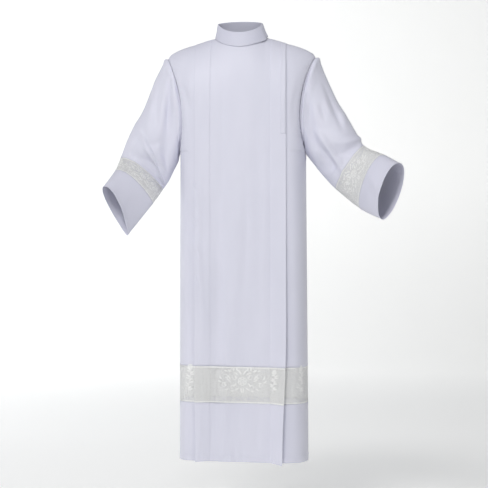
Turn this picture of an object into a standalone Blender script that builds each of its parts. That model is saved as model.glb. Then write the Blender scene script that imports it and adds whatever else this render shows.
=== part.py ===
"""Alb robe, worn and hollow: front, back, sleeves, lace insertions, borders and collar.

Metres, +Z up, the front faces -Y, the wearer's left is +X. The origin is at the neck, where the
wearer's shoulders hold the robe up. Every piece is a wall of cloth of its own.
"""

import math

import bmesh
import bpy
import numpy as np

# Cloth
WALL = 0.0012
HEM_WALL = 0.0022
HEM_TURN = 0.020
SEAM = 0.0003
LAYER = 0.0025
MITRE_LIMIT = 0.35

# Heights
CHEST_Z = -0.374
LACE_TOP_Z = -1.096
LACE_END_Z = -1.217
HEM_Z = -1.413
PANEL_ROWS_Z = (-0.55, -0.80, LACE_TOP_Z)
BORDER_ROWS_Z = (LACE_END_Z, HEM_Z + 1.3 * HEM_TURN, HEM_Z + HEM_TURN, HEM_Z)
BORDER_WALLS = (WALL, WALL, HEM_WALL, HEM_WALL)
HEM_SLANT = 0.003

# Neckline: half its width, then its reach and rise in front and behind
NECK_HALF = 0.083
NECK_SIDE_Z = 0.0137
NECK_REACH = {-1: 0.078, 1: 0.052}
NECK_RISE = {-1: -0.022, 1: 0.010}

# Shoulders and armholes
SHOULDER_SLOPE = 0.31
SHOULDER_TIP = (0.252, -0.055)
UNDERARM_X = 0.212
ARMHOLE_REACH = 0.078
ARMHOLE_INSET = 0.030
EDGE_STEP = 0.001
LEAN = -0.006

# Gaps across half a sleeve's lace, and the shares of the half ring that stay plain at its ends
SLEEVE_GAPS = 5
SLEEVE_PLAIN = (0.07, 0.14)

# Box pleats
PLEAT_IN = 0.101
PLEAT_OUT = 0.153
PLEAT_MEET = (0.126, 0.129)
SIDE_SPAN = 0.060
SIDE_STEPS = (0.25, 0.5, 0.75, 1.0)
PLEAT_COLUMNS = (
    (PLEAT_MEET[0], 0),
    (PLEAT_MEET[0], 1),
    (PLEAT_IN, 1),
    (PLEAT_IN, 2),
    (PLEAT_OUT, 2),
    (PLEAT_OUT, 1),
    (PLEAT_MEET[1], 1),
    (PLEAT_MEET[1], 0),
)
# Each pleat's outer edge, by face and side: how far it stands off at the chest and at the hem, how
# far it swings in at the hem, and how much lower it hangs there
PLEAT_EDGES = {
    (-1, 1): (0.004, 0.020, 0.012, 0.007),
    (-1, -1): (0.002, 0.008, 0.004, 0.003),
    (1, 1): (0.002, 0.010, 0.004, 0.003),
    (1, -1): (0.002, 0.010, 0.004, 0.003),
}
# The share of the height below the chest over which a pleat's edge stays straight
PLEAT_STRAIGHT = 0.6
LIFT_FROM_SHOULDER = 0.3

# Torso: height, half width, front depth, back depth
TORSO = (
    (-0.374, 0.212, 0.126, 0.112),
    (-0.600, 0.213, 0.124, 0.108),
    (-0.850, 0.214, 0.124, 0.112),
    (-1.096, 0.215, 0.126, 0.120),
    (-1.410, 0.217, 0.131, 0.130),
)
SKIRT_SWAY = 0.003
# How much flatter the front gets from its centre to the pleats, and the turn towards the sides
CENTRE_BOW = 0.05
SIDE_TURN_DEPTH = 0.96
SIDE_TURN_REACH = (0.85, 0.20)
SIDE_TURN_OUT = 0.003
# Soft vertical folds of the skirt: face, place across, half width, depth, height where it starts
SKIRT_FOLDS = (
    (-1, 0.010, 0.040, -0.004, -0.55),
    (-1, -0.045, 0.020, 0.003, -0.75),
    (1, 0.020, 0.035, 0.008, -0.50),
    (1, -0.040, 0.022, -0.006, -0.62),
)

# Sleeves, ring by ring: top (x, y, z), under (x, y, z), bulge at the top, bulge low down, turn of
# the front bulge towards the body, turn of the back bulge (degrees). Right, then left.
SLEEVES = {
    -1: (
        (-0.303, -0.004, -0.127, -0.228, -0.002, -0.411, 0.074, 0.074, 20, 12),
        (-0.341, -0.018, -0.230, -0.250, -0.003, -0.462, 0.068, 0.062, 18, -5),
        (-0.372, -0.028, -0.285, -0.263, -0.006, -0.484, 0.064, 0.050, 22, -14),
        (-0.395, -0.036, -0.340, -0.271, -0.008, -0.495, 0.060, 0.036, 30, -24),
        (-0.412, -0.045, -0.395, -0.276, -0.015, -0.503, 0.056, 0.026, 38, -34),
        (-0.412, -0.145, -0.440, -0.297, -0.105, -0.553, 0.046, 0.022, 46, -46),
        (-0.433, -0.255, -0.499, -0.375, -0.150, -0.659, 0.034, 0.014, 58, -58),
    ),
    1: (
        (0.277, -0.004, -0.112, 0.223, -0.002, -0.392, 0.076, 0.076, 20, 12),
        (0.318, -0.014, -0.201, 0.256, -0.005, -0.437, 0.070, 0.066, 14, 0),
        (0.349, -0.020, -0.252, 0.275, -0.008, -0.460, 0.064, 0.058, 10, -6),
        (0.380, -0.030, -0.307, 0.295, -0.013, -0.482, 0.058, 0.050, 10, -10),
        (0.410, -0.040, -0.358, 0.316, -0.020, -0.502, 0.054, 0.044, 14, -14),
        (0.477, -0.125, -0.393, 0.404, -0.055, -0.572, 0.048, 0.042, 42, -42),
        (0.529, -0.235, -0.426, 0.476, -0.165, -0.607, 0.042, 0.040, 55, -55),
    ),
}
ROOT_STEP = (0.010, -0.003)
BULGE_RISE = 0.2
LACE_TOP_RING = 6
LACE_END_RING = 7
CUFF_RING = 8
RING_STEP = 0.02
SLEEVE_RINGS = (0, 1, 1.5, 2, 2.5, 3, 4, 5, LACE_TOP_RING)
CUFF_RINGS = (LACE_END_RING, 7.5, 7.80, 7.85, CUFF_RING)
CUFF_WALLS = (WALL, WALL, WALL, HEM_WALL, HEM_WALL)
# Sleeve folds: side, face, ring and share down where it starts, and ends, half width in shares, depth
SLEEVE_FOLDS = (
    (-1, -1, 0.5, 0.30, 3.0, 0.62, 0.10, -0.010),
    (-1, -1, 4.2, 0.30, 5.2, 0.80, 0.12, 0.009),
    (-1, 1, 1.0, 0.40, 3.6, 0.60, 0.12, -0.009),
    (1, -1, 0.5, 0.30, 2.6, 0.60, 0.10, -0.010),
    (1, -1, 2.6, 0.72, 4.6, 0.30, 0.12, 0.009),
    (1, -1, 3.4, 0.80, 4.8, 0.66, 0.09, -0.007),
    (1, 1, 1.2, 0.45, 4.0, 0.55, 0.13, -0.009),
)

# Collar, folded over: outward step and share of its height, from the neck seam over to its free edge
COLLAR_STAND = ((-0.0040, -0.05), (-0.0052, 0.45), (-0.0092, 0.94), (-0.0084, 1.0))
COLLAR_FALL = ((-0.0058, 0.94), (0.0004, 0.45), (0.0072, -0.22))
COLLAR_HEIGHT = {"front": 0.033, "side": 0.048, "back": 0.050}
COLLAR_SWAY = -0.005
COLLAR_FLARE = 0.004
COLLAR_STEPS = 40
COLLAR_FLARE_STEPS = 5
COLLAR_END = math.radians(68)
COLLAR_GAP = math.radians(0.4)
FALL_DROP = {"front": 0.018, "side": 0.006, "back": 0.006}
FALL_STEP = {"front": 0.0116, "side": 0.0072, "back": 0.0072}
FALL_CLEAR = 0.0042

# Zip fly on the left front pleat: wall, clearance, place across the band at its top and below
FLY_WALL = 0.0010
FLY_CLEAR = 0.0009
FLY_SHARE = (0.66, 0.97)
FLY_END_Z = -0.340

# Lace: thread and gap, as shares down the band, and the medallions' half width
LACE_GAPS = 5
LACE_THREAD_SHARE = 0.36
MEDALLION_HALF = 0.072
MEDALLION_STEPS = 7
MEDALLION_WAVE = 0.10
MEDALLION_PETALS = 6
MEDALLION_HEART = 0.22

CLOTH_COLOUR = (0.86, 0.86, 0.90, 1)
LACE_COLOUR = (0.84, 0.85, 0.84, 1)


def clear_scene():
    for item in list(bpy.data.objects):
        bpy.data.objects.remove(item)


def material(name, colour, roughness):
    made = bpy.data.materials.new(name)
    made.use_nodes = True
    shader = made.node_tree.nodes["Principled BSDF"]
    shader.inputs["Base Color"].default_value = colour
    shader.inputs["Roughness"].default_value = roughness
    shader.inputs["Metallic"].default_value = 0.0
    return made


def unit(vector):
    return vector / max(np.linalg.norm(vector), 1e-12)


def smooth(value):
    share = min(max(value, 0.0), 1.0)
    return share * share * (3 - 2 * share)


def torso_size(z):
    """Half width, front depth and back depth at a height."""
    heights = [-row[0] for row in TORSO]
    return [float(np.interp(-z, heights, [row[k] for row in TORSO])) for k in (1, 2, 3)]


def round_over(share):
    """The surface's way forward from the shoulder ridge, 0 to 1, as it goes down to the chest."""
    return (1 - (1 - share) ** 4) ** 0.6


def round_under(reach):
    return 1 - (1 - reach ** (1 / 0.6)) ** 0.25


def top_edge(face, x):
    """Depth and height of the neckline or the shoulder seam."""
    if abs(x) < NECK_HALF:
        bow = math.sqrt(1 - (x / NECK_HALF) ** 2)
        return face * NECK_REACH[face] * bow, NECK_SIDE_Z + NECK_RISE[face] * bow**1.3
    return 0.0, NECK_SIDE_Z - SHOULDER_SLOPE * (abs(x) - NECK_HALF)


def fold_depth(face, x, z):
    total = 0.0
    for side, place, half, depth, start in SKIRT_FOLDS:
        if side == face:
            total += depth * math.exp(-(((x - place) / half) ** 2)) * smooth((start - z) / 0.45)
    return total


def middle_point(face, x, q):
    """The panel's even surface between the pleats' outer edges. q: 0 top, 1 chest, 2 hem."""
    z = CHEST_Z + (max(q, 1.0) - 1) * (HEM_Z - CHEST_Z)
    depth = torso_size(z)[1 if face < 0 else 2]
    y = depth * (1 - CENTRE_BOW * (x / PLEAT_OUT) ** 2)
    if q >= 1:
        slant = HEM_SLANT * smooth(q - 1) * x / PLEAT_OUT
        return np.array((x, face * (y + fold_depth(face, x, z)), z - slant))
    y_top, z_top = top_edge(face, x)
    start = round_under(abs(y_top) / y)
    way = round_over(start + (1 - start) * q)
    return np.array((x + LEAN * (1 - way), face * y * way, z_top + (CHEST_Z - z_top) * q))


def armhole_point(side, face, q):
    """The seam between panel and sleeve: q 0 at the shoulder tip, 1 under the arm."""
    bow = 2 * math.sqrt(max(q * (1 - q), 0.0))
    x = SHOULDER_TIP[0] + (UNDERARM_X - SHOULDER_TIP[0]) * q - ARMHOLE_INSET * bow**2
    z = SHOULDER_TIP[1] + (CHEST_Z - SHOULDER_TIP[1]) * q
    return np.array((side * x + LEAN * (1 - q), face * ARMHOLE_REACH * bow, z))


def armhole_normal(side, face, q):
    """The cloth's outward way at the armhole: up at the shoulder tip, down under the arm."""
    bow = 2 * math.sqrt(max(q * (1 - q), 0.0))
    across = (0.84 - 0.24 * q) * (1 - 0.45 * bow)
    return unit(np.array((side * across, face * 0.95 * bow, 0.54 - 1.34 * q)))


def body_point(face, place, q):
    """The even surface at a place across: literal up to PLEAT_OUT, then on to the side edge."""
    side = 1 if place > 0 else -1
    if abs(place) <= PLEAT_OUT:
        return middle_point(face, place, q)
    share = (abs(place) - PLEAT_OUT) / SIDE_SPAN
    start = middle_point(face, side * PLEAT_OUT, q)
    if q <= 1:
        end = armhole_point(side, face, q)
        bend = start[0] + (SIDE_TURN_REACH[0] + SIDE_TURN_REACH[1] * q) * (end[0] - start[0])
        middle_z = (start[2] + end[2]) / 2 + SIDE_TURN_OUT * (1 - q)
    else:
        z = CHEST_Z + (q - 1) * (HEM_Z - CHEST_Z)
        drop = smooth(q - 1)
        end = np.array((side * torso_size(z)[0] + SKIRT_SWAY * drop, 0.0, z - side * HEM_SLANT * drop))
        bend = end[0] + side * SIDE_TURN_OUT
        middle_z = (start[2] + end[2]) / 2
    turn = np.array((bend, start[1] * SIDE_TURN_DEPTH, middle_z))
    return start * (1 - share) ** 2 + turn * 2 * share * (1 - share) + end * share**2


def body_normal(face, place, q):
    step = 0.002
    across = body_point(face, place + step, q) - body_point(face, place - step, q)
    low, high = max(q - step, 0.0), min(q + step, 2.0)
    down = body_point(face, place, high) - body_point(face, place, low)
    return unit(np.cross(across, down) * face)


def q_at(z):
    """The row below the chest that lies at a height."""
    return 1 + (z - CHEST_Z) / (HEM_Z - CHEST_Z)


def neck_places():
    """Columns across the neckline, evenly round its oval."""
    steps = 5
    turns = [math.pi / 2 * k / steps for k in range(-steps, steps + 1)]
    return [(NECK_HALF * math.sin(turn), 0) for turn in turns]


def panel_columns(middle):
    """(place, layer) from the wearer's right edge to the left edge."""
    outer = [(PLEAT_OUT + SIDE_SPAN * step, 0) for step in SIDE_STEPS]
    half = list(PLEAT_COLUMNS) + outer
    return [(-x, k) for x, k in reversed(half)] + middle + half


def panel_grid(face, columns, rows):
    """The middle surface of a pleated panel, as an array of rows of points."""
    grid = np.zeros((len(rows), len(columns), 3))
    for i, q in enumerate(rows):
        down = smooth(q - 1)
        low = smooth((q - 1 - PLEAT_STRAIGHT) / (1 - PLEAT_STRAIGHT))
        for j, (place, layer) in enumerate(columns):
            side = 1 if place > 0 else -1
            lift, hang = 0.0, 0.0
            if abs(place) == PLEAT_OUT and layer:
                chest, hem, swing, hang = PLEAT_EDGES[face, side]
                lift = (chest + (hem - chest) * down) * smooth(q / LIFT_FROM_SHOULDER)
                place = side * (PLEAT_OUT - swing * low)
            point = body_point(face, place, q)
            normal = body_normal(face, place, q)
            if q == 0 and abs(place) >= NECK_HALF:
                normal = unit(normal * (1, 0, 1))
            grid[i, j] = point + normal * (layer * LAYER + lift)
            grid[i, j, 2] -= hang * low
    return grid


def mitre(before, after, down, away):
    """The thickness direction at a point between two stretches of cloth, with its length."""
    found = []
    for along in (before, after):
        if np.linalg.norm(along) > 1e-9:
            found.append(unit(np.cross(along, down)))
    if len(found) == 1:
        return found[0] * away
    both = found[0] + found[1]
    return both / max(1 + float(found[0] @ found[1]), MITRE_LIMIT) * away


def offsets(grid, away, wrap=False):
    """Thickness directions all over a grid, pointing to its outer face."""
    rows, columns = grid.shape[:2]
    out = np.zeros_like(grid)
    for i in range(rows):
        for j in range(columns):
            down = grid[min(i + 1, rows - 1), j] - grid[max(i - 1, 0), j]
            here = grid[i, j]
            before = here - grid[i, j - 1] if j or wrap else np.zeros(3)
            after = grid[i, (j + 1) % columns] - here if j < columns - 1 or wrap else np.zeros(3)
            out[i, j] = mitre(before, after, down, away)
    return out


def flat_way(vector, axis):
    """A rim direction without one axis, so that both sides of a seam face each other."""
    keep = np.ones(3)
    keep[axis] = 0
    return unit(vector * keep) * np.linalg.norm(vector)


def flatten(vectors, axis):
    for k, vector in enumerate(vectors):
        vectors[k] = flat_way(vector, axis)


def cloth_wall(name, middle, out, surface, walls=None, wrap=False, holes=()):
    """A closed wall round a middle surface, with cells cut through."""
    rows, columns = middle.shape[:2]
    walls = np.full(rows, WALL) if walls is None else np.asarray(walls)
    half = out * (walls / 2)[:, None, None]
    model = bmesh.new()
    sheets = []
    for sheet in (middle + half, middle - half):
        sheets.append([[model.verts.new(point) for point in row] for row in sheet])
    spans = columns if wrap else columns - 1

    def solid(i, j):
        if wrap:
            j %= columns
        return 0 <= i < rows - 1 and 0 <= j < spans and (i, j) not in holes

    def corners(sheet, i, j):
        right = (j + 1) % columns
        return [sheet[i][j], sheet[i][right], sheet[i + 1][right], sheet[i + 1][j]]

    for i in range(rows - 1):
        for j in range(spans):
            if not solid(i, j):
                continue
            top, under = corners(sheets[0], i, j), corners(sheets[1], i, j)
            here = corners(middle, i, j)
            turn = np.linalg.norm(here[0] - here[2]) > np.linalg.norm(here[1] - here[3])
            for picked in ((1, 2, 3), (1, 3, 0)) if turn else ((0, 1, 2), (0, 2, 3)):
                model.faces.new([top[k] for k in picked])
                model.faces.new([under[k] for k in reversed(picked)])
            neighbours = ((i - 1, j), (i, j + 1), (i + 1, j), (i, j - 1))
            for k, place in enumerate(neighbours):
                if not solid(*place):
                    after = (k + 1) % 4
                    model.faces.new((top[after], top[k], under[k], under[after]))
    bmesh.ops.recalc_face_normals(model, faces=model.faces)
    mesh = bpy.data.meshes.new(name)
    model.to_mesh(mesh)
    model.free()
    mesh.materials.append(surface)
    made = bpy.data.objects.new(name, mesh)
    bpy.data.collections["alb_robe"].objects.link(made)
    return made


def half_ring():
    """Shares of a half ring, from a sleeve's top to its underside, that every sleeve piece uses."""
    thread = LACE_THREAD_SHARE / (1 - LACE_THREAD_SHARE)
    gap = (1 - 2 * SLEEVE_PLAIN[1]) / (SLEEVE_GAPS + (SLEEVE_GAPS - 1) * thread)
    shares = [0.0, SLEEVE_PLAIN[0]]
    for k in range(SLEEVE_GAPS):
        start = SLEEVE_PLAIN[1] + k * gap * (1 + thread)
        shares += [start, start + gap]
    return shares + [1 - SLEEVE_PLAIN[0], 1.0]


def way_down(share):
    """How far down a half ring's share lies, 0 at the top and 1 at the underside."""
    return (1 - math.cos(math.pi * share)) / 2


def upper_rows():
    return [way_down(share) for share in half_ring()]


def body_panel(name, face, surface):
    """Front or back cloth, from the shoulder seams and neckline to the lace."""
    rows = upper_rows() + [q_at(z) for z in PANEL_ROWS_Z]
    columns = panel_columns(neck_places())
    grid = panel_grid(face, columns, rows)
    out = offsets(grid, face)
    for k, (place, _) in enumerate(columns):
        if abs(place) >= NECK_HALF:
            out[0, k] = flat_way(out[0, k], 1)
            grid[0, k, 1] = face * SEAM / 2
    flatten(out[-1], 2)
    grid[-1, :, 2] += SEAM / 2
    for i, q in enumerate(rows):
        for k, side in ((0, -1), (-1, 1)):
            if q <= 1:
                edge = armhole_point(side, face, q)
                near = q - EDGE_STEP if q > 0 else EDGE_STEP
                along = unit(edge - armhole_point(side, face, near))
                inward = unit(grid[i, k - side] - edge) + unit(grid[i + 1, k] - edge) * q**4
                inward = unit(inward - along * float(inward @ along))
                grid[i, k] = edge + inward * SEAM
                grid[i, k, 1] = face * max(face * grid[i, k, 1], SEAM / 2)
                out[i, k] = armhole_normal(side, face, q)
            else:
                grid[i, k, 1] = face * SEAM / 2
                out[i, k] = flat_way(out[i, k], 1)
    cloth_wall(name, grid, out, surface)
    return grid, out, rows, columns


def skirt_band(name, face, rows, middle, surface, walls=None, holes=()):
    """A level band of the skirt, lace or border, that follows the pleats."""
    columns = panel_columns(middle)
    grid = panel_grid(face, columns, rows)
    grid[0, :, 2] -= SEAM / 2
    grid[-1, :, 2] += SEAM / 2
    out = offsets(grid, face)
    for i in range(len(rows)):
        for k in (0, -1):
            grid[i, k, 1] = face * SEAM / 2
            out[i, k] = flat_way(out[i, k], 1)
    flatten(out[0], 2)
    flatten(out[-1], 2)
    cloth_wall(name, grid, out, surface, walls, holes=holes)


def lace_shares():
    """Shares down a lace band of its threads' and gaps' edges."""
    pitch = 1 / (LACE_GAPS + LACE_THREAD_SHARE)
    shares = []
    for k in range(LACE_GAPS + 1):
        shares += [k * pitch, (k + LACE_THREAD_SHARE) * pitch]
    return shares


def medallion_places():
    """Places across the middle of a skirt band: gaps and threads of one medallion."""
    pitch = 2 * MEDALLION_HALF / (MEDALLION_STEPS + LACE_THREAD_SHARE)
    places = []
    for k in range(MEDALLION_STEPS + 1):
        places.append((-MEDALLION_HALF + k * pitch, 0))
        places.append((-MEDALLION_HALF + (k + LACE_THREAD_SHARE) * pitch, 0))
    return places


def in_medallion(across, down):
    """Whether a gap at shares -1 to 1 across and down belongs to the medallion's rings."""
    reach = math.hypot(across, down)
    petal = MEDALLION_WAVE * math.cos(MEDALLION_PETALS * math.atan2(down, across))
    return MEDALLION_HEART < reach < 1.02 + petal


def lace_holes(rows, first, steps):
    """Gap cells of a medallion that starts at a column."""
    found = set()
    for k in range(steps):
        for i in range(1, rows - 1, 2):
            across = 2 * (k + 0.5) / steps - 1
            down = 2 * (i + 0.5) / (rows - 1) - 1
            if in_medallion(across, down):
                found.add((i, first + 2 * k + 1))
    return found


def catmull(before, start, end, after, share):
    return 0.5 * (
        2 * start
        + (end - before) * share
        + (2 * before - 5 * start + 4 * end - after) * share**2
        + (3 * start - before - 3 * end + after) * share**3
    )


def ring_values(side, ring):
    """The sleeve table at a ring number, 2 to 8, with numbers between the rows of it smoothed."""
    table = [np.array(row) for row in SLEEVES[side]]
    low = min(int(ring - 2), len(table) - 2)
    picked = [table[min(max(low + k, 0), len(table) - 1)] for k in (-1, 0, 1, 2)]
    return catmull(*picked, ring - 2 - low)


def sleeve_point(side, face, ring, share):
    """A point of a sleeve. Ring 0 is the armhole, 8 the opening; share 0 is the top, 1 the underside."""
    down = way_down(share)
    if ring < 2:
        root = armhole_point(side, face, down)
        step = np.array((side * ROOT_STEP[0], 0.0, ROOT_STEP[1]))
        if ring <= 1:
            return root + step * ring
        later = sleeve_point(side, face, 2.0, share)
        return (root + step) * (2 - ring) + later * (ring - 1)
    row = ring_values(side, ring)
    bulge = (row[6] + (row[7] - row[6]) * down) * math.sin(math.pi * share)
    turn = math.radians(row[8] if face < 0 else row[9])
    rise = -face * BULGE_RISE * math.sin(turn)
    away = unit(np.array((-side * math.sin(turn), face * math.cos(turn), rise)))
    total = bulge + sleeve_fold(side, face, ring, share)
    return row[0:3] + (row[3:6] - row[0:3]) * down + away * total


def sleeve_fold(side, face, ring, share):
    total = 0.0
    for row in SLEEVE_FOLDS:
        if row[0] != side or row[1] != face:
            continue
        start, end = np.array(row[2:4]), np.array(row[4:6])
        along = end - start
        way = ((ring - start[0]) * along[0]) / (along[0] ** 2)
        middle = start[1] + along[1] * way
        fade = smooth((way + 0.3) / 0.3) * smooth((1.3 - way) / 0.3)
        total += row[7] * fade * math.exp(-(((share - middle) / row[6]) ** 2))
    return total


def full_ring():
    """(face, share) right round a sleeve: down the front from the top, and up the back."""
    shares = half_ring()
    return [(-1, share) for share in shares] + [(1, share) for share in reversed(shares[1:-1])]


def tube_grid(side, rings):
    places = full_ring()
    return np.array([[sleeve_point(side, face, ring, share) for face, share in places] for ring in rings])


def shift_ends(grid, first, last):
    """Moves a tube's end rings in along it, to leave the seams' clearance."""
    for index, beside, step in ((0, 1, first), (-1, -2, last)):
        for k in range(grid.shape[1]):
            grid[index, k] += unit(grid[beside, k] - grid[index, k]) * step


def seam_normals(side, ring):
    """Thickness directions round a sleeve at a seam, the same for the pieces on both sides."""
    near = tube_grid(side, (ring - RING_STEP, ring, min(ring + RING_STEP, CUFF_RING)))
    return offsets(near, side, wrap=True)[1]


def sleeve(name, side, surface):
    grid = tube_grid(side, SLEEVE_RINGS)
    out = offsets(grid, side, wrap=True)
    out[0] = [armhole_normal(side, face, way_down(share)) for face, share in full_ring()]
    out[-1] = seam_normals(side, LACE_TOP_RING)
    shift_ends(grid, SEAM, SEAM / 2)
    cloth_wall(name, grid, out, surface, wrap=True)


def cuff(name, side, surface):
    grid = tube_grid(side, CUFF_RINGS)
    out = offsets(grid, side, wrap=True)
    out[0] = seam_normals(side, LACE_END_RING)
    shift_ends(grid, SEAM / 2, 0.0)
    cloth_wall(name, grid, out, surface, CUFF_WALLS, wrap=True)


def sleeve_lace(name, side, face, surface):
    """Half a lace tube, in front or behind, with its gaps cut through."""
    shares = half_ring()
    last = len(shares) - 1
    rings = [LACE_TOP_RING + down for down in lace_shares()]
    grid = np.array([[sleeve_point(side, face, ring, share) for share in shares] for ring in rings])
    out = offsets(grid, -side * face)
    for i, ring in enumerate(rings):
        full = seam_normals(side, ring)
        for k, beside in ((0, 1), (last, last - 1)):
            out[i, k] = full[k]
            down = grid[min(i + 1, len(rings) - 1), k] - grid[max(i - 1, 0), k]
            across = unit(np.cross(out[i, k], down))
            inward = float(across @ (grid[i, beside] - grid[i, k]))
            grid[i, k] += across * math.copysign(SEAM / 2, inward)
        if i in (0, len(rings) - 1):
            for k in range(1, last):
                out[i, k] = full[k if face < 0 else len(full) - k]
    shift_ends(grid, SEAM / 2, SEAM / 2)
    holes = lace_holes(len(rings), 1, SLEEVE_GAPS)
    cloth_wall(name, grid, out, surface, holes=holes)


def neck_point(turn):
    """The neckline at a turn from the centre front towards the wearer's left, with its way out."""
    face = -1 if math.cos(turn) >= 0 else 1
    reach = NECK_REACH[face]
    bow = abs(math.cos(turn))
    y = face * reach * bow
    z = NECK_SIDE_Z + NECK_RISE[face] * bow**1.3
    depth = torso_size(CHEST_Z)[1 if face < 0 else 2]
    x = NECK_HALF * math.sin(turn) + LEAN * (1 - abs(y) / depth)
    away = unit(np.array((math.sin(turn) / NECK_HALF, face * bow / reach, 0.0)))
    return np.array((x, y, z)), away


def height_below(x, y):
    """The panel's height under a place near the neckline."""
    face = -1 if y < 0 else 1
    low, high = 0.0, 1.0
    for _ in range(24):
        middle = (low + high) / 2
        if abs(body_point(face, x, middle)[1]) < abs(y):
            low = middle
        else:
            high = middle
    return float(body_point(face, x, low)[2])


def around(sizes, turn):
    """A size of the collar at a turn, between its values in front, at the side and behind."""
    bow = math.cos(turn)
    end = sizes["front"] if bow > 0 else sizes["back"]
    return sizes["side"] + (end - sizes["side"]) * abs(bow) ** 1.2


def collar(name, surface):
    """A stand that turns over at its top into a fall, open at the wearer's left."""
    first = COLLAR_END + COLLAR_GAP
    last = COLLAR_END + 2 * math.pi - COLLAR_GAP
    grid = []
    for index, (step, share) in enumerate(COLLAR_STAND + COLLAR_FALL):
        row = []
        free = COLLAR_FLARE * (1 - max(share, 0.0)) if index > len(COLLAR_STAND) else 0.0
        for k in range(COLLAR_STEPS + 1):
            turn = first + (last - first) * k / COLLAR_STEPS
            point, away = neck_point(turn)
            height = around(COLLAR_HEIGHT, turn)
            flare = free * smooth(1 - (COLLAR_STEPS - k) / COLLAR_FLARE_STEPS)
            edge = share < 0 < step
            reach = around(FALL_STEP, turn) if edge else step
            place = point + away * (reach + flare)
            place += np.array((COLLAR_SWAY * max(share, 0.0), 0, height * share))
            if edge:
                place[2] = max(point[2] - around(FALL_DROP, turn), height_below(*place[:2]) + FALL_CLEAR)
            row.append(place)
        grid.append(row)
    grid = np.array(grid)
    out = offsets(grid, -1)
    cloth_wall(name, grid, out, surface)


def zip_fly(name, panel, surface):
    """The stitched strip along the left front pleat's outer edge, made from the pleat's points."""
    grid, out, rows, columns = panel
    inner = columns.index((PLEAT_IN, 2))
    outer = columns.index((PLEAT_OUT, 2))
    strip, ways = [], []
    for i in range(len(rows)):
        if grid[i, inner, 2] < FLY_END_Z:
            break
        line, way = [], []
        for share in FLY_SHARE:
            point = grid[i, inner] * (1 - share) + grid[i, outer] * share
            normal = unit(out[i, inner] * 0.5 + out[i, outer] * 0.5)
            line.append(point + normal * (WALL / 2 + FLY_CLEAR + FLY_WALL / 2))
            way.append(normal)
        strip.append(line)
        ways.append(way)
    cloth_wall(name, np.array(strip), np.array(ways), surface, np.full(len(strip), FLY_WALL))


def build():
    clear_scene()
    collection = bpy.data.collections.new("alb_robe")
    bpy.context.scene.collection.children.link(collection)
    cloth = material("white_cloth", CLOTH_COLOUR, 0.55)
    lace = material("white_lace", LACE_COLOUR, 0.7)

    front = body_panel("front", -1, cloth)
    body_panel("back", 1, cloth)
    zip_fly("zip_fly", front, cloth)
    collar("collar", cloth)

    band_shares = lace_shares()
    lace_rows = [q_at(LACE_TOP_Z + (LACE_END_Z - LACE_TOP_Z) * share) for share in band_shares]
    border_rows = [q_at(z) for z in BORDER_ROWS_Z]
    middle = medallion_places()
    first = len(SIDE_STEPS) + len(PLEAT_COLUMNS)
    holes = lace_holes(len(lace_rows), first, MEDALLION_STEPS)
    for face, label in ((-1, "front"), (1, "back")):
        skirt_band(f"skirt_lace_{label}", face, lace_rows, middle, lace, holes=holes)
        skirt_band(f"hem_border_{label}", face, border_rows, neck_places(), cloth, BORDER_WALLS)

    for side, label in ((-1, "right"), (1, "left")):
        sleeve(f"sleeve_{label}", side, cloth)
        cuff(f"cuff_border_{label}", side, cloth)
        for face, half in ((-1, "front"), (1, "back")):
            sleeve_lace(f"sleeve_lace_{label}_{half}", side, face, lace)


build()
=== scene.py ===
"""The alb robe's cloth, lace and stitching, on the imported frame.

Metres, +Z up, the front faces -Y, the wearer's left is +X. Every piece of cloth lies on its own
solid's middle surface, worked out again here from the same sizes, on a finer grid.
"""

import math

import bmesh
import bpy
import numpy as np
from mathutils import Matrix, Vector


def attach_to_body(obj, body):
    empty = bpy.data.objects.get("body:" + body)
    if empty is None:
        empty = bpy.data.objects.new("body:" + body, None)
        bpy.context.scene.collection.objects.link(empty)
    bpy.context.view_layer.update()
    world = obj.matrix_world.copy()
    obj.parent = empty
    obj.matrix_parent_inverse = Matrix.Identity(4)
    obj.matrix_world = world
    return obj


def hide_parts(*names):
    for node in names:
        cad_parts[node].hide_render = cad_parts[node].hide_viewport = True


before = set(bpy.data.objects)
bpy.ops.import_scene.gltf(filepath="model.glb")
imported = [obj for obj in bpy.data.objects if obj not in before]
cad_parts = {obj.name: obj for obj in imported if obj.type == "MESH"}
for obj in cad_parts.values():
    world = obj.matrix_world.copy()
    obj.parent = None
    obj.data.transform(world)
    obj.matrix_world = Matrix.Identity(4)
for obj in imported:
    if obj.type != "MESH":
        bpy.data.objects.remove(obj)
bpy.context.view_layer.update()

# Heights
CHEST_Z = -0.374
LACE_TOP_Z = -1.096
LACE_END_Z = -1.217
HEM_Z = -1.413
HEM_SLANT = 0.003

# Cloth
CLOTH_THICK = 0.0005
COLLAR_THICK = 0.0011
LAYER = 0.0006
HEM_TURN = 0.020
HEM_STEP = 0.0006
HEM_FOLD = 0.002
HEM_WAVE = 0.0014
HEM_WAVE_PITCH = 0.034
GATHER_PITCH = 0.017
GATHERS = {LACE_TOP_Z: 0.0006, LACE_END_Z: 0.0005}
SEAM_DEPTH = 0.0016
SEAM_HALF = 0.0045
SEAM_INSET = 0.003
CREASE_FADE = 0.7
BODY_ROWS = (70, 96)
LACE_ROWS = 31
BORDER_ROWS = (34, 12)

# Gathers' unevenness: how much and how fast they wander, how much they swell and over how many
# gathers, and their reach from the seam in gathers
GATHER_WANDER = (1.7, 1.31)
GATHER_SWELL = (0.65, 0.35, 5.3)
GATHER_REACH = 1.6

# Round the armhole: gathers' height, pitch and reach; the sleeve head's rise, place and half width
ARMHOLE_GATHER = (0.0013, 0.022, 0.011)
SLEEVE_HEAD = (0.0024, 0.013, 0.007)
SEAM_CLEAR = 0.008

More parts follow.
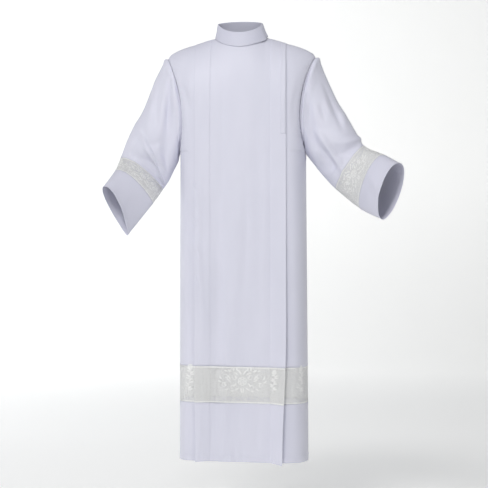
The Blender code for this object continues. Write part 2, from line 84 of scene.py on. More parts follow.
# Neckline, shoulders and armholes
NECK_HALF = 0.083
NECK_SIDE_Z = 0.0137
NECK_REACH = {-1: 0.078, 1: 0.052}
NECK_RISE = {-1: -0.022, 1: 0.010}
NECK_ROUND = 1.3
SHOULDER_ROUND = (4, 0.6)
SHOULDER_SLOPE = 0.31
SHOULDER_TIP = (0.252, -0.055)
UNDERARM_X = 0.212
ARMHOLE_REACH = 0.078
ARMHOLE_INSET = 0.030
LEAN = -0.006

# Box pleats: places across, then each outer edge's stand-off at chest and hem, swing in and drop
PLEAT_IN = 0.101
PLEAT_OUT = 0.153
PLEAT_MEET = (0.126, 0.129)
SIDE_SPAN = 0.060
PLEAT_EDGES = {
    (-1, 1): (0.004, 0.020, 0.012, 0.007),
    (-1, -1): (0.002, 0.008, 0.004, 0.003),
    (1, 1): (0.002, 0.010, 0.004, 0.003),
    (1, -1): (0.002, 0.010, 0.004, 0.003),
}
PLEAT_STRAIGHT = 0.6
LIFT_FROM_SHOULDER = 0.3

# Torso: height, half width, front depth, back depth
TORSO = np.array(
    (
        (-0.374, 0.212, 0.126, 0.112),
        (-0.600, 0.213, 0.124, 0.108),
        (-0.850, 0.214, 0.124, 0.112),
        (-1.096, 0.215, 0.126, 0.120),
        (-1.410, 0.217, 0.131, 0.130),
    )
)
SKIRT_SWAY = 0.003
CENTRE_BOW = 0.05
SIDE_TURN_DEPTH = 0.96
SIDE_TURN_REACH = (0.85, 0.20)
SIDE_TURN_OUT = 0.003
SIDE_EASE = 1.5
FOLD_GROWS = 0.45

# Skirt folds: front or back, place across, half width, depth, height where each starts
SKIRT_FOLDS = (
    (-1, 0.010, 0.040, -0.004, -0.55),
    (-1, -0.045, 0.020, 0.003, -0.75),
    (1, 0.020, 0.035, 0.008, -0.50),
    (1, -0.040, 0.022, -0.006, -0.62),
)

# Sleeves, ring by ring: top (x, y, z), under (x, y, z), bulge at the top, bulge low down, turn of
# the front bulge, turn of the back bulge (degrees)
SLEEVES = {
    -1: (
        (-0.303, -0.004, -0.127, -0.228, -0.002, -0.411, 0.074, 0.074, 20, 12),
        (-0.341, -0.018, -0.230, -0.250, -0.003, -0.462, 0.068, 0.062, 18, -5),
        (-0.372, -0.028, -0.285, -0.263, -0.006, -0.484, 0.064, 0.050, 22, -14),
        (-0.395, -0.036, -0.340, -0.271, -0.008, -0.495, 0.060, 0.036, 30, -24),
        (-0.412, -0.045, -0.395, -0.276, -0.015, -0.503, 0.056, 0.026, 38, -34),
        (-0.412, -0.145, -0.440, -0.297, -0.105, -0.553, 0.046, 0.022, 46, -46),
        (-0.433, -0.255, -0.499, -0.375, -0.150, -0.659, 0.034, 0.014, 58, -58),
    ),
    1: (
        (0.277, -0.004, -0.112, 0.223, -0.002, -0.392, 0.076, 0.076, 20, 12),
        (0.318, -0.014, -0.201, 0.256, -0.005, -0.437, 0.070, 0.066, 14, 0),
        (0.349, -0.020, -0.252, 0.275, -0.008, -0.460, 0.064, 0.058, 10, -6),
        (0.380, -0.030, -0.307, 0.295, -0.013, -0.482, 0.058, 0.050, 10, -10),
        (0.410, -0.040, -0.358, 0.316, -0.020, -0.502, 0.054, 0.044, 14, -14),
        (0.477, -0.125, -0.393, 0.404, -0.055, -0.572, 0.048, 0.042, 42, -42),
        (0.529, -0.235, -0.426, 0.476, -0.165, -0.607, 0.042, 0.040, 55, -55),
    ),
}
ROOT_STEP = (0.010, -0.003)
BULGE_RISE = 0.2
LACE_TOP_RING = 6
LACE_END_RING = 7
CUFF_RING = 8
RING_LENGTH = 0.115
SLEEVE_GATHER = 0.0006
CUFF_TURN_RING = 7.86
SLEEVE_ROWS = ((0, 6, 75), (6, 7, 20), (7, 8, 25))
HALF_ROUND = 56
TABLE_RING = 2
EVENINGS = 3
FOLD_EASE = 0.3

# Sleeve folds: side, front or back, first ring and share of the way down it, last ring and share,
# half width as a share, depth
SLEEVE_FOLDS = (
    (-1, -1, 0.5, 0.30, 3.0, 0.62, 0.10, -0.010),
    (-1, -1, 4.2, 0.30, 5.2, 0.80, 0.12, 0.009),
    (-1, 1, 1.0, 0.40, 3.6, 0.60, 0.12, -0.009),
    (1, -1, 0.5, 0.30, 2.6, 0.60, 0.10, -0.010),
    (1, -1, 2.6, 0.72, 4.6, 0.30, 0.12, 0.009),
    (1, -1, 3.4, 0.80, 4.8, 0.66, 0.09, -0.007),
    (1, 1, 1.2, 0.45, 4.0, 0.55, 0.13, -0.009),
)

# Collar
COLLAR_STAND = ((-0.0040, -0.05), (-0.0052, 0.45), (-0.0092, 0.94), (-0.0084, 1.0))
COLLAR_FALL = ((-0.0058, 0.94), (0.0004, 0.45), (0.0072, -0.22))
COLLAR_HEIGHT = {"front": 0.033, "side": 0.048, "back": 0.050}
COLLAR_SWAY = -0.005
COLLAR_FLARE = 0.004
COLLAR_FLARE_SHARE = 0.125
COLLAR_END = math.radians(68)
COLLAR_GAP = math.radians(0.4)
FALL_DROP = {"front": 0.018, "side": 0.006, "back": 0.006}
FALL_STEP = {"front": 0.0116, "side": 0.0072, "back": 0.0072}
FALL_CLEAR = 0.0042
COLLAR_ROUND = 1.2
COLLAR_COLUMNS = 161
COLLAR_ROWS = 6
HALVINGS = 24

# Zip fly: share across the pleat band, stand-off, upper end as a share of the way to the chest
FLY_SHARE = (0.66, 0.97)
FLY_OFF = 0.0007
FLY_START = 0.012
FLY_END_Z = -0.320
FLY_THICK = 0.0008
FLY_COLUMNS = 7
FLY_ROWS = 120
FLY_SEWN = 0.05

# Stitches: length, gap, half width, half width outwards, and how far they lie out from the cloth's
# middle on the skirt, the sleeves, the collar and the fly
STITCH_LONG = 0.0026
STITCH_GAP = 0.0012
STITCH_HALF = 0.00035
STITCH_FLAT = 0.8
STITCH_OUT = {"skirt": 0.0008, "sleeve": 0.0007, "collar": 0.0009, "fly": 0.0006}
SLEEVE_SEAMS = (5.97, 7.03, 7.87)

# Lace ornament: the height of its middle, its places across or round, and the braid at its edges
MOTIF_Z = -1.144
SPRIG_DROP = 0.004
MEDALLION_PLACE = 0.008
SIDE_SPRAYS = (-0.162, 0.181)
SIDE_SCALE = 1.05
BAND_SPRAY = 0.114
BAND_SCALE = 0.8
MOTIF_RING = 6.5
SLEEVE_MEDALLIONS = (0.25, 0.72)
MEDALLION_SCALE = 0.92
SLEEVE_SPRIGS = (0.0, 0.49)
SPRIG_SCALE = 0.85
CORD_HEIGHT = 0.0009
CORD_ROOT = 0.0003
CORD_RIDGE = 0.45
BRAID_HEIGHT = 0.0006
BRAID_INSET = 0.003
BRAID_RINGS = (6.04, 6.96)
BRAID_HALF = 0.0024
BRAID_WAVE = 0.25
BRAID_PITCH = 0.008
BRAID_STEPS = {"skirt": 700, "sleeve": 400}

# Creases, listed one by one: half width, height out of the cloth, then the line that each follows (x, z).
# A sleeve's are listed by side and by front or back
FRONT_CREASES = (
    (0.010, -0.0040, ((-0.202, -0.140), (-0.182, -0.190), (-0.166, -0.250))),
    (0.011, 0.0030, ((-0.180, -0.120), (-0.168, -0.190), (-0.158, -0.240))),
    (0.009, -0.0030, ((0.198, -0.130), (0.182, -0.215), (0.174, -0.310))),
    (0.026, -0.0090, ((-0.080, -0.440), (-0.072, -0.790), (-0.076, -1.080), (-0.080, -1.380))),
    (0.009, 0.0026, ((-0.131, -0.400), (-0.139, -0.660), (-0.125, -0.930), (-0.133, -1.090))),
    (0.008, -0.0020, ((-0.161, -0.500), (-0.166, -0.740), (-0.160, -1.000))),
    (0.020, -0.0020, ((-0.060, -0.100), (-0.066, -0.300), (-0.056, -0.560))),
    (0.014, 0.0018, ((-0.019, -0.560), (-0.012, -0.780), (-0.020, -1.020))),
    (0.013, -0.0024, ((0.018, -0.440), (0.024, -0.640), (0.012, -0.820))),
    (0.018, -0.0016, ((0.058, -0.180), (0.060, -0.500), (0.064, -0.840))),
    (0.014, 0.0016, ((0.084, -0.300), (0.080, -0.620), (0.088, -1.000))),
    (0.005, -0.0012, ((-0.070, -0.930), (-0.010, -0.934), (0.052, -0.931))),
    (0.008, 0.0010, ((-0.062, -0.610), (-0.020, -0.616), (0.044, -0.612))),
    (0.010, 0.0020, ((-0.076, -1.210), (-0.070, -1.300), (-0.078, -1.410))),
    (0.011, -0.0022, ((-0.030, -1.190), (-0.034, -1.300), (-0.026, -1.420))),
    (0.012, 0.0016, ((0.012, -1.230), (0.016, -1.320), (0.010, -1.420))),
    (0.011, -0.0018, ((0.062, -1.190), (0.058, -1.290), (0.066, -1.420))),
    (0.008, 0.0018, ((-0.134, -1.220), (-0.130, -1.320), (-0.136, -1.420))),
    (0.008, -0.0016, ((-0.176, -1.180), (-0.170, -1.290), (-0.178, -1.420))),
    (0.018, 0.0010, ((0.186, -0.560), (0.190, -0.900), (0.188, -1.380))),
    (0.012, -0.0020, ((0.168, -0.520), (0.166, -0.900), (0.170, -1.400))),
    (0.016, 0.0016, ((-0.188, -0.520), (-0.192, -0.900), (-0.190, -1.390))),
    (0.005, -0.0026, ((-0.160, -0.480), (-0.139, -0.520))),
    (0.005, 0.0024, ((-0.154, -0.520), (-0.134, -0.566))),
    (0.005, -0.0026, ((-0.160, -0.590), (-0.136, -0.640))),
    (0.006, 0.0022, ((-0.158, -0.660), (-0.132, -0.730))),
    (0.006, -0.0022, ((-0.152, -0.780), (-0.128, -0.850))),
)
BACK_CREASES = (
    (0.012, -0.0018, ((0.196, -0.150), (0.170, -0.210), (0.150, -0.300))),
    (0.014, 0.0018, ((0.176, -0.120), (0.158, -0.200), (0.150, -0.280))),
    (0.012, -0.0018, ((-0.198, -0.150), (-0.172, -0.220), (-0.158, -0.310))),
    (0.022, -0.0022, ((0.050, -0.150), (0.060, -0.480), (0.052, -0.880))),
    (0.018, 0.0020, ((0.010, -0.220), (0.004, -0.560), (0.012, -0.980))),
    (0.020, -0.0018, ((-0.044, -0.200), (-0.052, -0.560), (-0.046, -0.960))),
    (0.016, 0.0016, ((-0.082, -0.380), (-0.078, -0.700), (-0.086, -1.080))),
    (0.008, -0.0010, ((-0.060, -0.560), (0.000, -0.568), (0.058, -0.562))),
    (0.014, 0.0016, ((0.084, -0.720), (0.080, -1.050), (0.086, -1.390))),
    (0.012, -0.0014, ((-0.020, -0.980), (-0.026, -1.200), (-0.020, -1.400))),
    (0.018, 0.0020, ((-0.186, -0.560), (-0.190, -0.940), (-0.188, -1.390))),
    (0.018, 0.0018, ((0.188, -0.620), (0.190, -1.000), (0.186, -1.380))),
)
SLEEVE_CREASES = {
    (-1, -1): (
        (0.009, -0.0090, ((-0.240, -0.105), (-0.246, -0.170), (-0.248, -0.240), (-0.254, -0.310))),
        (0.010, 0.0067, ((-0.232, -0.140), (-0.221, -0.250))),
        (0.012, 0.0081, ((-0.338, -0.357), (-0.300, -0.385), (-0.270, -0.420))),
        (0.009, -0.0076, ((-0.344, -0.388), (-0.312, -0.412), (-0.282, -0.452))),
        (0.010, -0.0053, ((-0.282, -0.140), (-0.292, -0.230), (-0.286, -0.300))),
        (0.012, 0.0049, ((-0.300, -0.200), (-0.318, -0.280), (-0.314, -0.330))),
        (0.008, -0.0036, ((-0.262, -0.330), (-0.290, -0.350), (-0.320, -0.345))),
        (0.007, -0.0031, ((-0.352, -0.330), (-0.372, -0.370), (-0.384, -0.410))),
    ),
    (-1, 1): (
        (0.011, -0.0090, ((-0.248, -0.110), (-0.254, -0.190), (-0.258, -0.280))),
        (0.012, 0.0076, ((-0.276, -0.150), (-0.290, -0.250), (-0.296, -0.330))),
        (0.012, -0.0076, ((-0.300, -0.220), (-0.318, -0.320), (-0.300, -0.420))),
        (0.012, 0.0067, ((-0.344, -0.300), (-0.340, -0.380), (-0.300, -0.452))),
        (0.008, -0.0045, ((-0.370, -0.340), (-0.362, -0.420))),
    ),
    (1, -1): (
        (0.010, -0.0100, ((0.231, -0.050), (0.216, -0.110), (0.204, -0.190), (0.208, -0.330))),
        (0.008, -0.0076, ((0.236, -0.065), (0.226, -0.115), (0.219, -0.165), (0.219, -0.230))),
        (
            0.011,
            0.0110,
            ((0.238, -0.300), (0.268, -0.328), (0.292, -0.362), (0.330, -0.420), (0.350, -0.470)),
        ),
        (0.011, 0.0100, ((0.286, -0.350), (0.345, -0.350), (0.389, -0.336), (0.424, -0.328))),
        (0.011, -0.0100, ((0.246, -0.345), (0.282, -0.388), (0.318, -0.440))),
        (0.009, -0.0080, ((0.316, -0.388), (0.360, -0.374), (0.398, -0.360))),
        (0.007, -0.0044, ((0.262, -0.218), (0.282, -0.272))),
        (0.007, 0.0040, ((0.276, -0.200), (0.300, -0.262))),
        (0.008, -0.0060, ((0.270, -0.136), (0.290, -0.180), (0.318, -0.250), (0.342, -0.310))),
        (0.008, 0.0046, ((0.330, -0.240), (0.352, -0.290))),
    ),
    (1, 1): (
        (0.011, -0.0090, ((0.234, -0.090), (0.226, -0.180), (0.228, -0.280))),
        (0.012, 0.0076, ((0.258, -0.140), (0.270, -0.230), (0.290, -0.320))),
        (0.012, -0.0081, ((0.280, -0.200), (0.310, -0.300), (0.300, -0.400))),
        (0.012, 0.0076, ((0.320, -0.260), (0.348, -0.340), (0.330, -0.430))),
        (0.008, -0.0045, ((0.356, -0.290), (0.376, -0.350))),
    ),
}
CUFF_CREASES = {
    (-1, -1): ((0.010, 0.0020, ((-0.350, -0.500), (-0.384, -0.560), (-0.400, -0.640))),),
    (-1, 1): ((0.010, -0.0020, ((-0.350, -0.500), (-0.384, -0.560), (-0.400, -0.640))),),
    (1, -1): (
        (0.012, 0.0026, ((0.430, -0.440), (0.452, -0.500), (0.474, -0.560))),
        (0.010, -0.0024, ((0.420, -0.480), (0.436, -0.530), (0.456, -0.580))),
    ),
    (1, 1): ((0.012, 0.0024, ((0.440, -0.440), (0.460, -0.500), (0.480, -0.560))),),
}


def smooth(value):
    share = np.clip(value, 0.0, 1.0)
    return share * share * (3 - 2 * share)


def unit(vectors):
    size = np.linalg.norm(vectors, axis=-1, keepdims=True)
    return vectors / np.maximum(size, 1e-12)


def lengths(points):
    """How far along a line each of its points lies."""
    return np.cumsum(np.linalg.norm(np.diff(points, axis=0, prepend=points[:1]), axis=-1), axis=0)


def torso_size(z, column):
    return np.interp(-z, -TORSO[:, 0], TORSO[:, column])


def round_over(share):
    power, spread = SHOULDER_ROUND
    return (1 - (1 - share) ** power) ** spread


def round_under(reach):
    power, spread = SHOULDER_ROUND
    return 1 - (1 - reach ** (1 / spread)) ** (1 / power)


def top_edge(face, x):
    """Depth and height of the neckline, and of the shoulder seam beside it."""
    bow = np.sqrt(np.maximum(1 - (x / NECK_HALF) ** 2, 0.0))
    inside = np.abs(x) < NECK_HALF
    slope = NECK_SIDE_Z - SHOULDER_SLOPE * (np.abs(x) - NECK_HALF)
    height = np.where(inside, NECK_SIDE_Z + NECK_RISE[face] * bow**NECK_ROUND, slope)
    return np.where(inside, face * NECK_REACH[face] * bow, 0.0), height


def middle_points(face, x, q):
    """The panel's even surface between the pleats' outer edges. q: 0 top, 1 chest, 2 hem."""
    z = CHEST_Z + (np.maximum(q, 1.0) - 1) * (HEM_Z - CHEST_Z)
    y = torso_size(z, 2 if face < 0 else 3) * (1 - CENTRE_BOW * (x / PLEAT_OUT) ** 2)
    fold = 0.0
    for side, place, half, depth, start in SKIRT_FOLDS:
        if side == face:
            fold = fold + depth * np.exp(-(((x - place) / half) ** 2)) * smooth((start - z) / FOLD_GROWS)
    slant = HEM_SLANT * smooth(q - 1) * x / PLEAT_OUT
    low = np.stack((x, face * (y + fold), z - slant), axis=-1)
    y_top, z_top = top_edge(face, x)
    start = round_under(np.abs(y_top) / y)
    down = np.minimum(q, 1.0)
    way = round_over(start + (1 - start) * down)
    high = np.stack((x + LEAN * (1 - way), face * y * way, z_top + (CHEST_Z - z_top) * down), axis=-1)
    return np.where((q >= 1)[..., None], low, high)


def armhole_points(side, face, q):
    bow = 2 * np.sqrt(np.maximum(q * (1 - q), 0.0))
    x = SHOULDER_TIP[0] + (UNDERARM_X - SHOULDER_TIP[0]) * q - ARMHOLE_INSET * bow**2
    z = SHOULDER_TIP[1] + (CHEST_Z - SHOULDER_TIP[1]) * q
    return np.stack((side * x + LEAN * (1 - q), face * ARMHOLE_REACH * bow, z), axis=-1)


def body_points(face, place, q):
    """The even surface at places across: literal up to PLEAT_OUT, then round to the side seam."""
    side = np.where(place > 0, 1.0, -1.0)
    start = middle_points(face, np.clip(place, -PLEAT_OUT, PLEAT_OUT), q)
    share = np.maximum(np.abs(place) - PLEAT_OUT, 0.0) / SIDE_SPAN
    down = np.minimum(q, 1.0)
    arm = armhole_points(side, face, down)
    z = CHEST_Z + (q - 1) * (HEM_Z - CHEST_Z)
    drop = smooth(q - 1)
    seam = side * torso_size(z, 1) + SKIRT_SWAY * drop
    seam = np.stack((seam, 0.0 * z, z - side * HEM_SLANT * drop), axis=-1)
    high = (q <= 1)[..., None]
    end = np.where(high, arm, seam)
    reach = SIDE_TURN_REACH[0] + SIDE_TURN_REACH[1] * down
    bend = np.where(
        q <= 1,
        start[..., 0] + reach * (end[..., 0] - start[..., 0]),
        end[..., 0] + side * SIDE_TURN_OUT,
    )
    turn_z = (start[..., 2] + end[..., 2]) / 2 + SIDE_TURN_OUT * (1 - down)
    turn = np.stack((bend, start[..., 1] * SIDE_TURN_DEPTH, turn_z), axis=-1)
    s = share[..., None]
    return start * (1 - s) ** 2 + turn * 2 * s * (1 - s) + end * s**2


def body_normals(face, place, q):
    step = 0.002
    across = body_points(face, place + step, q) - body_points(face, place - step, q)
    below = np.minimum(q + step, 2.0)
    above = np.maximum(q - step, 0.0)
    down = body_points(face, place, below) - body_points(face, place, above)
    return unit(np.cross(across, down) * face)


def q_at(z):
    return 1 + (z - CHEST_Z) / (HEM_Z - CHEST_Z)


def half_section():
    """From the centre out: place across, layer, share of the loose edge, and the cloth's length."""
    turn = np.radians((45, 90, 135))
    swell = LAYER / 2 * np.sin(turn)
    rise = (1 - np.cos(turn)) / 2
    ends = np.zeros(len(turn))
    stretches = (
        (np.linspace(0, PLEAT_MEET[0], 30), 0, 0),
        (PLEAT_MEET[0] + swell, rise, ends),
        (np.linspace(PLEAT_MEET[0], PLEAT_IN, 4), 1, 0),
        (PLEAT_IN - swell, 1 + rise, ends),
        (np.linspace(PLEAT_IN, PLEAT_OUT, 15), 2, np.linspace(0, 1, 15)),
        (PLEAT_OUT + swell, 2 - rise, ends + 1),
        (np.linspace(PLEAT_OUT, PLEAT_MEET[1], 4), 1, np.linspace(1, 0, 4)),
        (PLEAT_MEET[1] - swell, 1 - rise, ends),
        (np.linspace(PLEAT_MEET[1], PLEAT_OUT, 5)[:-1], 0, 0),
        (PLEAT_OUT + SIDE_SPAN * (1 - (1 - np.linspace(0, 1, 27)) ** SIDE_EASE), 0, 0),
    )
    rows = []
    for places, layers, shares in stretches:
        for k, place in enumerate(places):
            layer = layers if np.isscalar(layers) else layers[k]
            share = shares if np.isscalar(shares) else shares[k]
            rows.append((place, layer, share))
    rows = np.array(rows)
    steps = np.hypot(np.diff(rows[:, 0]), np.diff(rows[:, 1]) * LAYER)
    length = np.concatenate(((0.0,), np.cumsum(steps)))
    return np.column_stack((rows, length))


def whole_section():
    half = half_section()
    other = half[:0:-1] * (-1, 1, 1, -1)
    return np.vstack((other, half))


SECTION = whole_section()


def pleated(face, place, layer, share, q, creases=(), out=0.0):
    """Points on a pleated panel, with creases, and out from it."""
    side = np.where(place > 0, 1, -1)
    edge = np.array([PLEAT_EDGES[face, -1], PLEAT_EDGES[face, 1]])[(side + 1) // 2]
    down = smooth(q - 1)
    low = smooth((q - 1 - PLEAT_STRAIGHT) / (1 - PLEAT_STRAIGHT))
    lift = (edge[..., 0] + (edge[..., 1] - edge[..., 0]) * down) * smooth(q / LIFT_FROM_SHOULDER)
    place = place - side * edge[..., 2] * low * share
    points = body_points(face, place, q)
    normals = body_normals(face, place, q)
    raised = layer * LAYER + lift * share + creased(points, creases) + out
    points = points + normals * raised[..., None]
    points[..., 2] -= edge[..., 3] * low * share
    return points, normals


def creased(points, creases):
    """How far out of the cloth the creases bring each point, worked out in x and z."""
    total = np.zeros(points.shape[:-1])
    flat = points[..., (0, 2)]
    for half, height, line in creases:
        line = np.array(line)
        steps = np.linalg.norm(np.diff(line, axis=0), axis=1)
        reach = np.full(total.shape, 1e9)
        along = np.zeros(total.shape)
        for k, step in enumerate(steps):
            way = (line[k + 1] - line[k]) / step
            share = np.clip((flat - line[k]) @ way, 0.0, step)
            far = np.linalg.norm(flat - line[k] - share[..., None] * way, axis=-1)
            nearer = far < reach
            reach = np.where(nearer, far, reach)
            along = np.where(nearer, steps[:k].sum() + share, along)
        fade = np.sin(np.pi * np.clip(along / steps.sum(), 0.02, 0.98)) ** CREASE_FADE
        total += height * fade * np.exp(-((reach / half) ** 2))
    return total


def sunk(far):
    """The groove along a seam between two pieces."""
    return -SEAM_DEPTH * np.exp(-((far / SEAM_HALF) ** 2))


def puckered(length, far, size, pitch, phase):
    """Uneven gathers along a seam: length along it, distance from it."""
    much, fast = GATHER_WANDER
    wave = np.sin(2 * np.pi * length / pitch + phase + much * np.sin(length / pitch * fast + phase))
    even, more, count = GATHER_SWELL
    swell = even + more * np.sin(2 * np.pi * length / (count * pitch) + 2 * phase)
    return size * wave * swell * np.exp(-((far / (GATHER_REACH * pitch)) ** 2))


def sheet_mesh(name, points, across, down, normals, surface, thick=None, wrap=False):
    """A sheet of cloth through rows of points. Its UV map holds its own lengths, in metres."""
    rows, columns = points.shape[:2]
    model = bmesh.new()
    bmesh.ops.create_grid(model, x_segments=columns - 1, y_segments=rows - 1, size=0.5)
    flat = model.loops.layers.uv.new("cloth")
    places = {}
    for vertex in model.verts:
        j = round((vertex.co.x + 0.5) * (columns - 1))
        i = round((vertex.co.y + 0.5) * (rows - 1))
        places[vertex] = (i, j)
    facing = 0.0
    for vertex, (i, j) in places.items():
        vertex.co = points[i, j]
    for face in model.faces:
        face.smooth = True
        face.normal_update()
        i, j = places[face.verts[0]]
        facing += face.normal.dot(Vector(normals[i, j])) * face.calc_area()
        for loop in face.loops:
            i, j = places[loop.vert]
            loop[flat].uv = (across[i, j], down[i, j])
    if facing < 0:
        bmesh.ops.reverse_faces(model, faces=model.faces)
    if wrap:
        bmesh.ops.remove_doubles(model, verts=model.verts, dist=1e-6)
    return finished(name, model, surface, thick)


def finished(name, model, surface, thick=None):
    """An object of a bmesh, with its surface, and its thickness on both sides."""
    mesh = bpy.data.meshes.new(name)
    model.to_mesh(mesh)
    model.free()
    mesh.materials.append(surface)
    made = bpy.data.objects.new(name, mesh)
    bpy.context.scene.collection.objects.link(made)
    if thick:
        wall = made.modifiers.new("thickness", "SOLIDIFY")
        wall.thickness = thick
        wall.offset = 0.0
        wall.use_rim = True
    return made


def upper_rows(steps):
    return (1 - np.cos(np.pi * np.arange(steps + 1) / steps)) / 2


def lengths_across(points):
    """How far across the cloth each column lies from the middle one, the same all the way down."""
    steps = np.linalg.norm(np.diff(points, axis=1), axis=-1).mean(axis=0)
    across = np.concatenate(((0.0,), np.cumsum(steps)))
    across -= across[len(across) // 2]
    return np.repeat(across[None], len(points), axis=0)


def lengths_down(points):
    """How far down the cloth each row lies, the same all along a row."""
    steps = np.linalg.norm(np.diff(points, axis=0), axis=-1).mean(axis=1)
    down = np.concatenate(((0.0,), np.cumsum(steps)))
    return np.repeat(down[:, None], points.shape[1], axis=1)


def body_cloth(name, face, creases, surface):
    """Front or back, from the shoulder seams to the lace."""
    high, low = BODY_ROWS
    q = np.concatenate((upper_rows(high)[:-1], np.linspace(1.0, q_at(LACE_TOP_Z), low)))
    place, layer, share, length = (np.tile(column, (len(q), 1)) for column in SECTION.T)
    q = np.repeat(q[:, None], place.shape[1], axis=1)
    points, normals = pleated(face, place, layer, share, q, creases)
    z = points[..., 2]
    gather = puckered(length, z - LACE_TOP_Z, GATHERS[LACE_TOP_Z], GATHER_PITCH, face)
    arm = np.linalg.norm(points - armhole_points(np.sign(place), face, np.minimum(q, 1.0)), axis=-1)
    size, pitch, fade = ARMHOLE_GATHER
    gather += puckered(z, arm, size, pitch, 1 + face) * smooth(arm / fade) + sunk(arm)
    points += normals * gather[..., None]
    across, down = lengths_across(points), lengths_down(points)
    return sheet_mesh(name, points, across, down, normals, surface, CLOTH_THICK)


def skirt_band(name, face, z, surface, thick, creases):
    """A level band of the skirt, lace or border, that follows the pleats."""
    place, layer, share, length = (np.tile(column, (len(z), 1)) for column in SECTION.T)
    height = np.repeat(z[:, None], place.shape[1], axis=1)
    out = np.zeros(height.shape)
    for seam, size in GATHERS.items():
        out += puckered(length, height - seam, size, GATHER_PITCH, face)
    across_turn = np.clip((HEM_Z + HEM_TURN - height) / HEM_FOLD, -0.5, 0.5)
    out += HEM_STEP * smooth(across_turn + 0.5)
    out += puckered(length, height - HEM_Z, HEM_WAVE, HEM_WAVE_PITCH, face + 2)
    points, normals = pleated(face, place, layer, share, q_at(height), creases, out)
    across, down = lengths_across(points), -height
    if face > 0:
        across, down = down, across
    return sheet_mesh(name, points, across, down, normals, surface, thick)


def catmull(before, start, end, after, share):
    return 0.5 * (
        2 * start
        + (end - before) * share
        + (2 * before - 5 * start + 4 * end - after) * share**2
        + (3 * start - before - 3 * end + after) * share**3
    )


def ring_values(side, ring):
    table = [np.array(row) for row in SLEEVES[side]]
    low = min(int(ring - TABLE_RING), len(table) - 2)
    picked = [table[min(max(low + k, 0), len(table) - 1)] for k in (-1, 0, 1, 2)]
    return catmull(*picked, ring - TABLE_RING - low)


def sleeve_ring(side, face, ring, shares):
    """Half a ring of a sleeve. Ring 0 is the armhole, 8 the opening; share 0 is its top."""
    down = (1 - np.cos(np.pi * shares)) / 2
    if ring < TABLE_RING:
        root = armhole_points(np.full(shares.shape, side), face, down)
        step = np.array((side * ROOT_STEP[0], 0.0, ROOT_STEP[1]))
        if ring <= 1:
            return root + step * ring
        later = sleeve_ring(side, face, TABLE_RING, shares)
        return (root + step) * (TABLE_RING - ring) + later * (ring - 1)
    row = ring_values(side, ring)
    bulge = (row[6] + (row[7] - row[6]) * down) * np.sin(np.pi * shares)
    turn = math.radians(row[8] if face < 0 else row[9])
    away = np.array((-side * math.sin(turn), face * math.cos(turn), -face * BULGE_RISE * math.sin(turn)))
    total = bulge + sleeve_fold(side, face, ring, shares)
    line = row[0:3] + (row[3:6] - row[0:3]) * down[:, None]
    return line + unit(away) * total[:, None]


def sleeve_fold(side, face, ring, shares):
    total = np.zeros(shares.shape)
    for row in SLEEVE_FOLDS:
        if row[0] != side or row[1] != face:
            continue
        start, end = np.array(row[2:4]), np.array(row[4:6])
        along = end - start
        way = (ring - start[0]) / along[0]
        middle = start[1] + along[1] * way
        fade = smooth((way + FOLD_EASE) / FOLD_EASE) * smooth((1 + FOLD_EASE - way) / FOLD_EASE)
        total += row[7] * fade * np.exp(-(((shares - middle) / row[6]) ** 2))
    return total


def tube_points(side, rings):
    """Full rings, down the front from the top and up the back, closed on the first point."""
    shares = np.linspace(0.0, 1.0, HALF_ROUND + 1)
    rows = []
    for ring in rings:
        front = sleeve_ring(side, -1, ring, shares)
        back = sleeve_ring(side, 1, ring, shares[::-1])
        rows.append(np.vstack((front, back[1:])))
    return np.array(rows)


def tube_normals(points, centre):
    after = np.roll(points[:, :-1], -1, axis=1)
    before = np.roll(points[:, :-1], 1, axis=1)
    across = np.concatenate((after - before, (after - before)[:, :1]), axis=1)
    down = np.gradient(points, axis=0)
    normals = unit(np.cross(across, down))
    if np.sum(normals * (points - centre)) < 0:
        normals = -normals
    return normals


def softened(points, rounds):
    """Evens out the kinks along a tube, its ends kept."""
    for _ in range(rounds):
        points[1:-1] = points[1:-1] / 2 + (points[:-2] + points[2:]) / 4
    return points


def whole_sleeve(side):
    """All the rings of a sleeve, armhole to opening, with the ring numbers they stand for."""
    rows = [np.linspace(first, last, steps + 1)[1:] for first, last, steps in SLEEVE_ROWS]
    rings = np.concatenate(([0.0], *rows))
    points = softened(tube_points(side, rings), EVENINGS)
    normals = tube_normals(points, points.mean(axis=1, keepdims=True))
    half = points.shape[1] // 2
    out = np.zeros(points.shape[:2])
    seam = np.linalg.norm(points - points[:1], axis=-1)
    round_length = np.cumsum(np.linalg.norm(np.diff(points, axis=1, prepend=points[:, :1]), axis=-1), axis=1)
    for face, part in ((-1, slice(0, half + 1)), (1, slice(half, None))):
        creases = SLEEVE_CREASES[side, face] + CUFF_CREASES[side, face]
        out[:, part] = creased(points[:, part], creases)
    out *= smooth(seam / SEAM_CLEAR)
    for k, ring in enumerate(rings):
        for at in (LACE_TOP_RING, LACE_END_RING):
            near = smooth(1.2 - abs(ring - at))
            far = (ring - at) * RING_LENGTH
            out[k] += puckered(round_length[k], far, SLEEVE_GATHER, GATHER_PITCH, side + at) * near
    head, place, half_wide = SLEEVE_HEAD
    out += head * np.exp(-(((seam - place) / half_wide) ** 2)) + sunk(seam)
    size, pitch, fade = ARMHOLE_GATHER
    out += puckered(round_length, seam, size, pitch, side) * smooth(seam / fade)
    out[:, -1] = out[:, 0]
    points = points + normals * out[..., None]
    return rings, points, normals, round_length


def sleeve_piece(name, whole, first, last, surface, thick):
    rings, points, normals, round_length = whole
    picked = (rings >= first - 1e-6) & (rings <= last + 1e-6)
    points, normals = points[picked].copy(), normals[picked]
    if last == CUFF_RING:
        turned = smooth((rings[picked] - CUFF_TURN_RING) / 0.01)
        points += normals * (HEM_STEP * turned)[:, None, None]
    across = np.repeat(round_length[picked].mean(axis=0)[None], picked.sum(), axis=0)
    return sheet_mesh(name, points, across, lengths_down(points), normals, surface, thick, wrap=True)


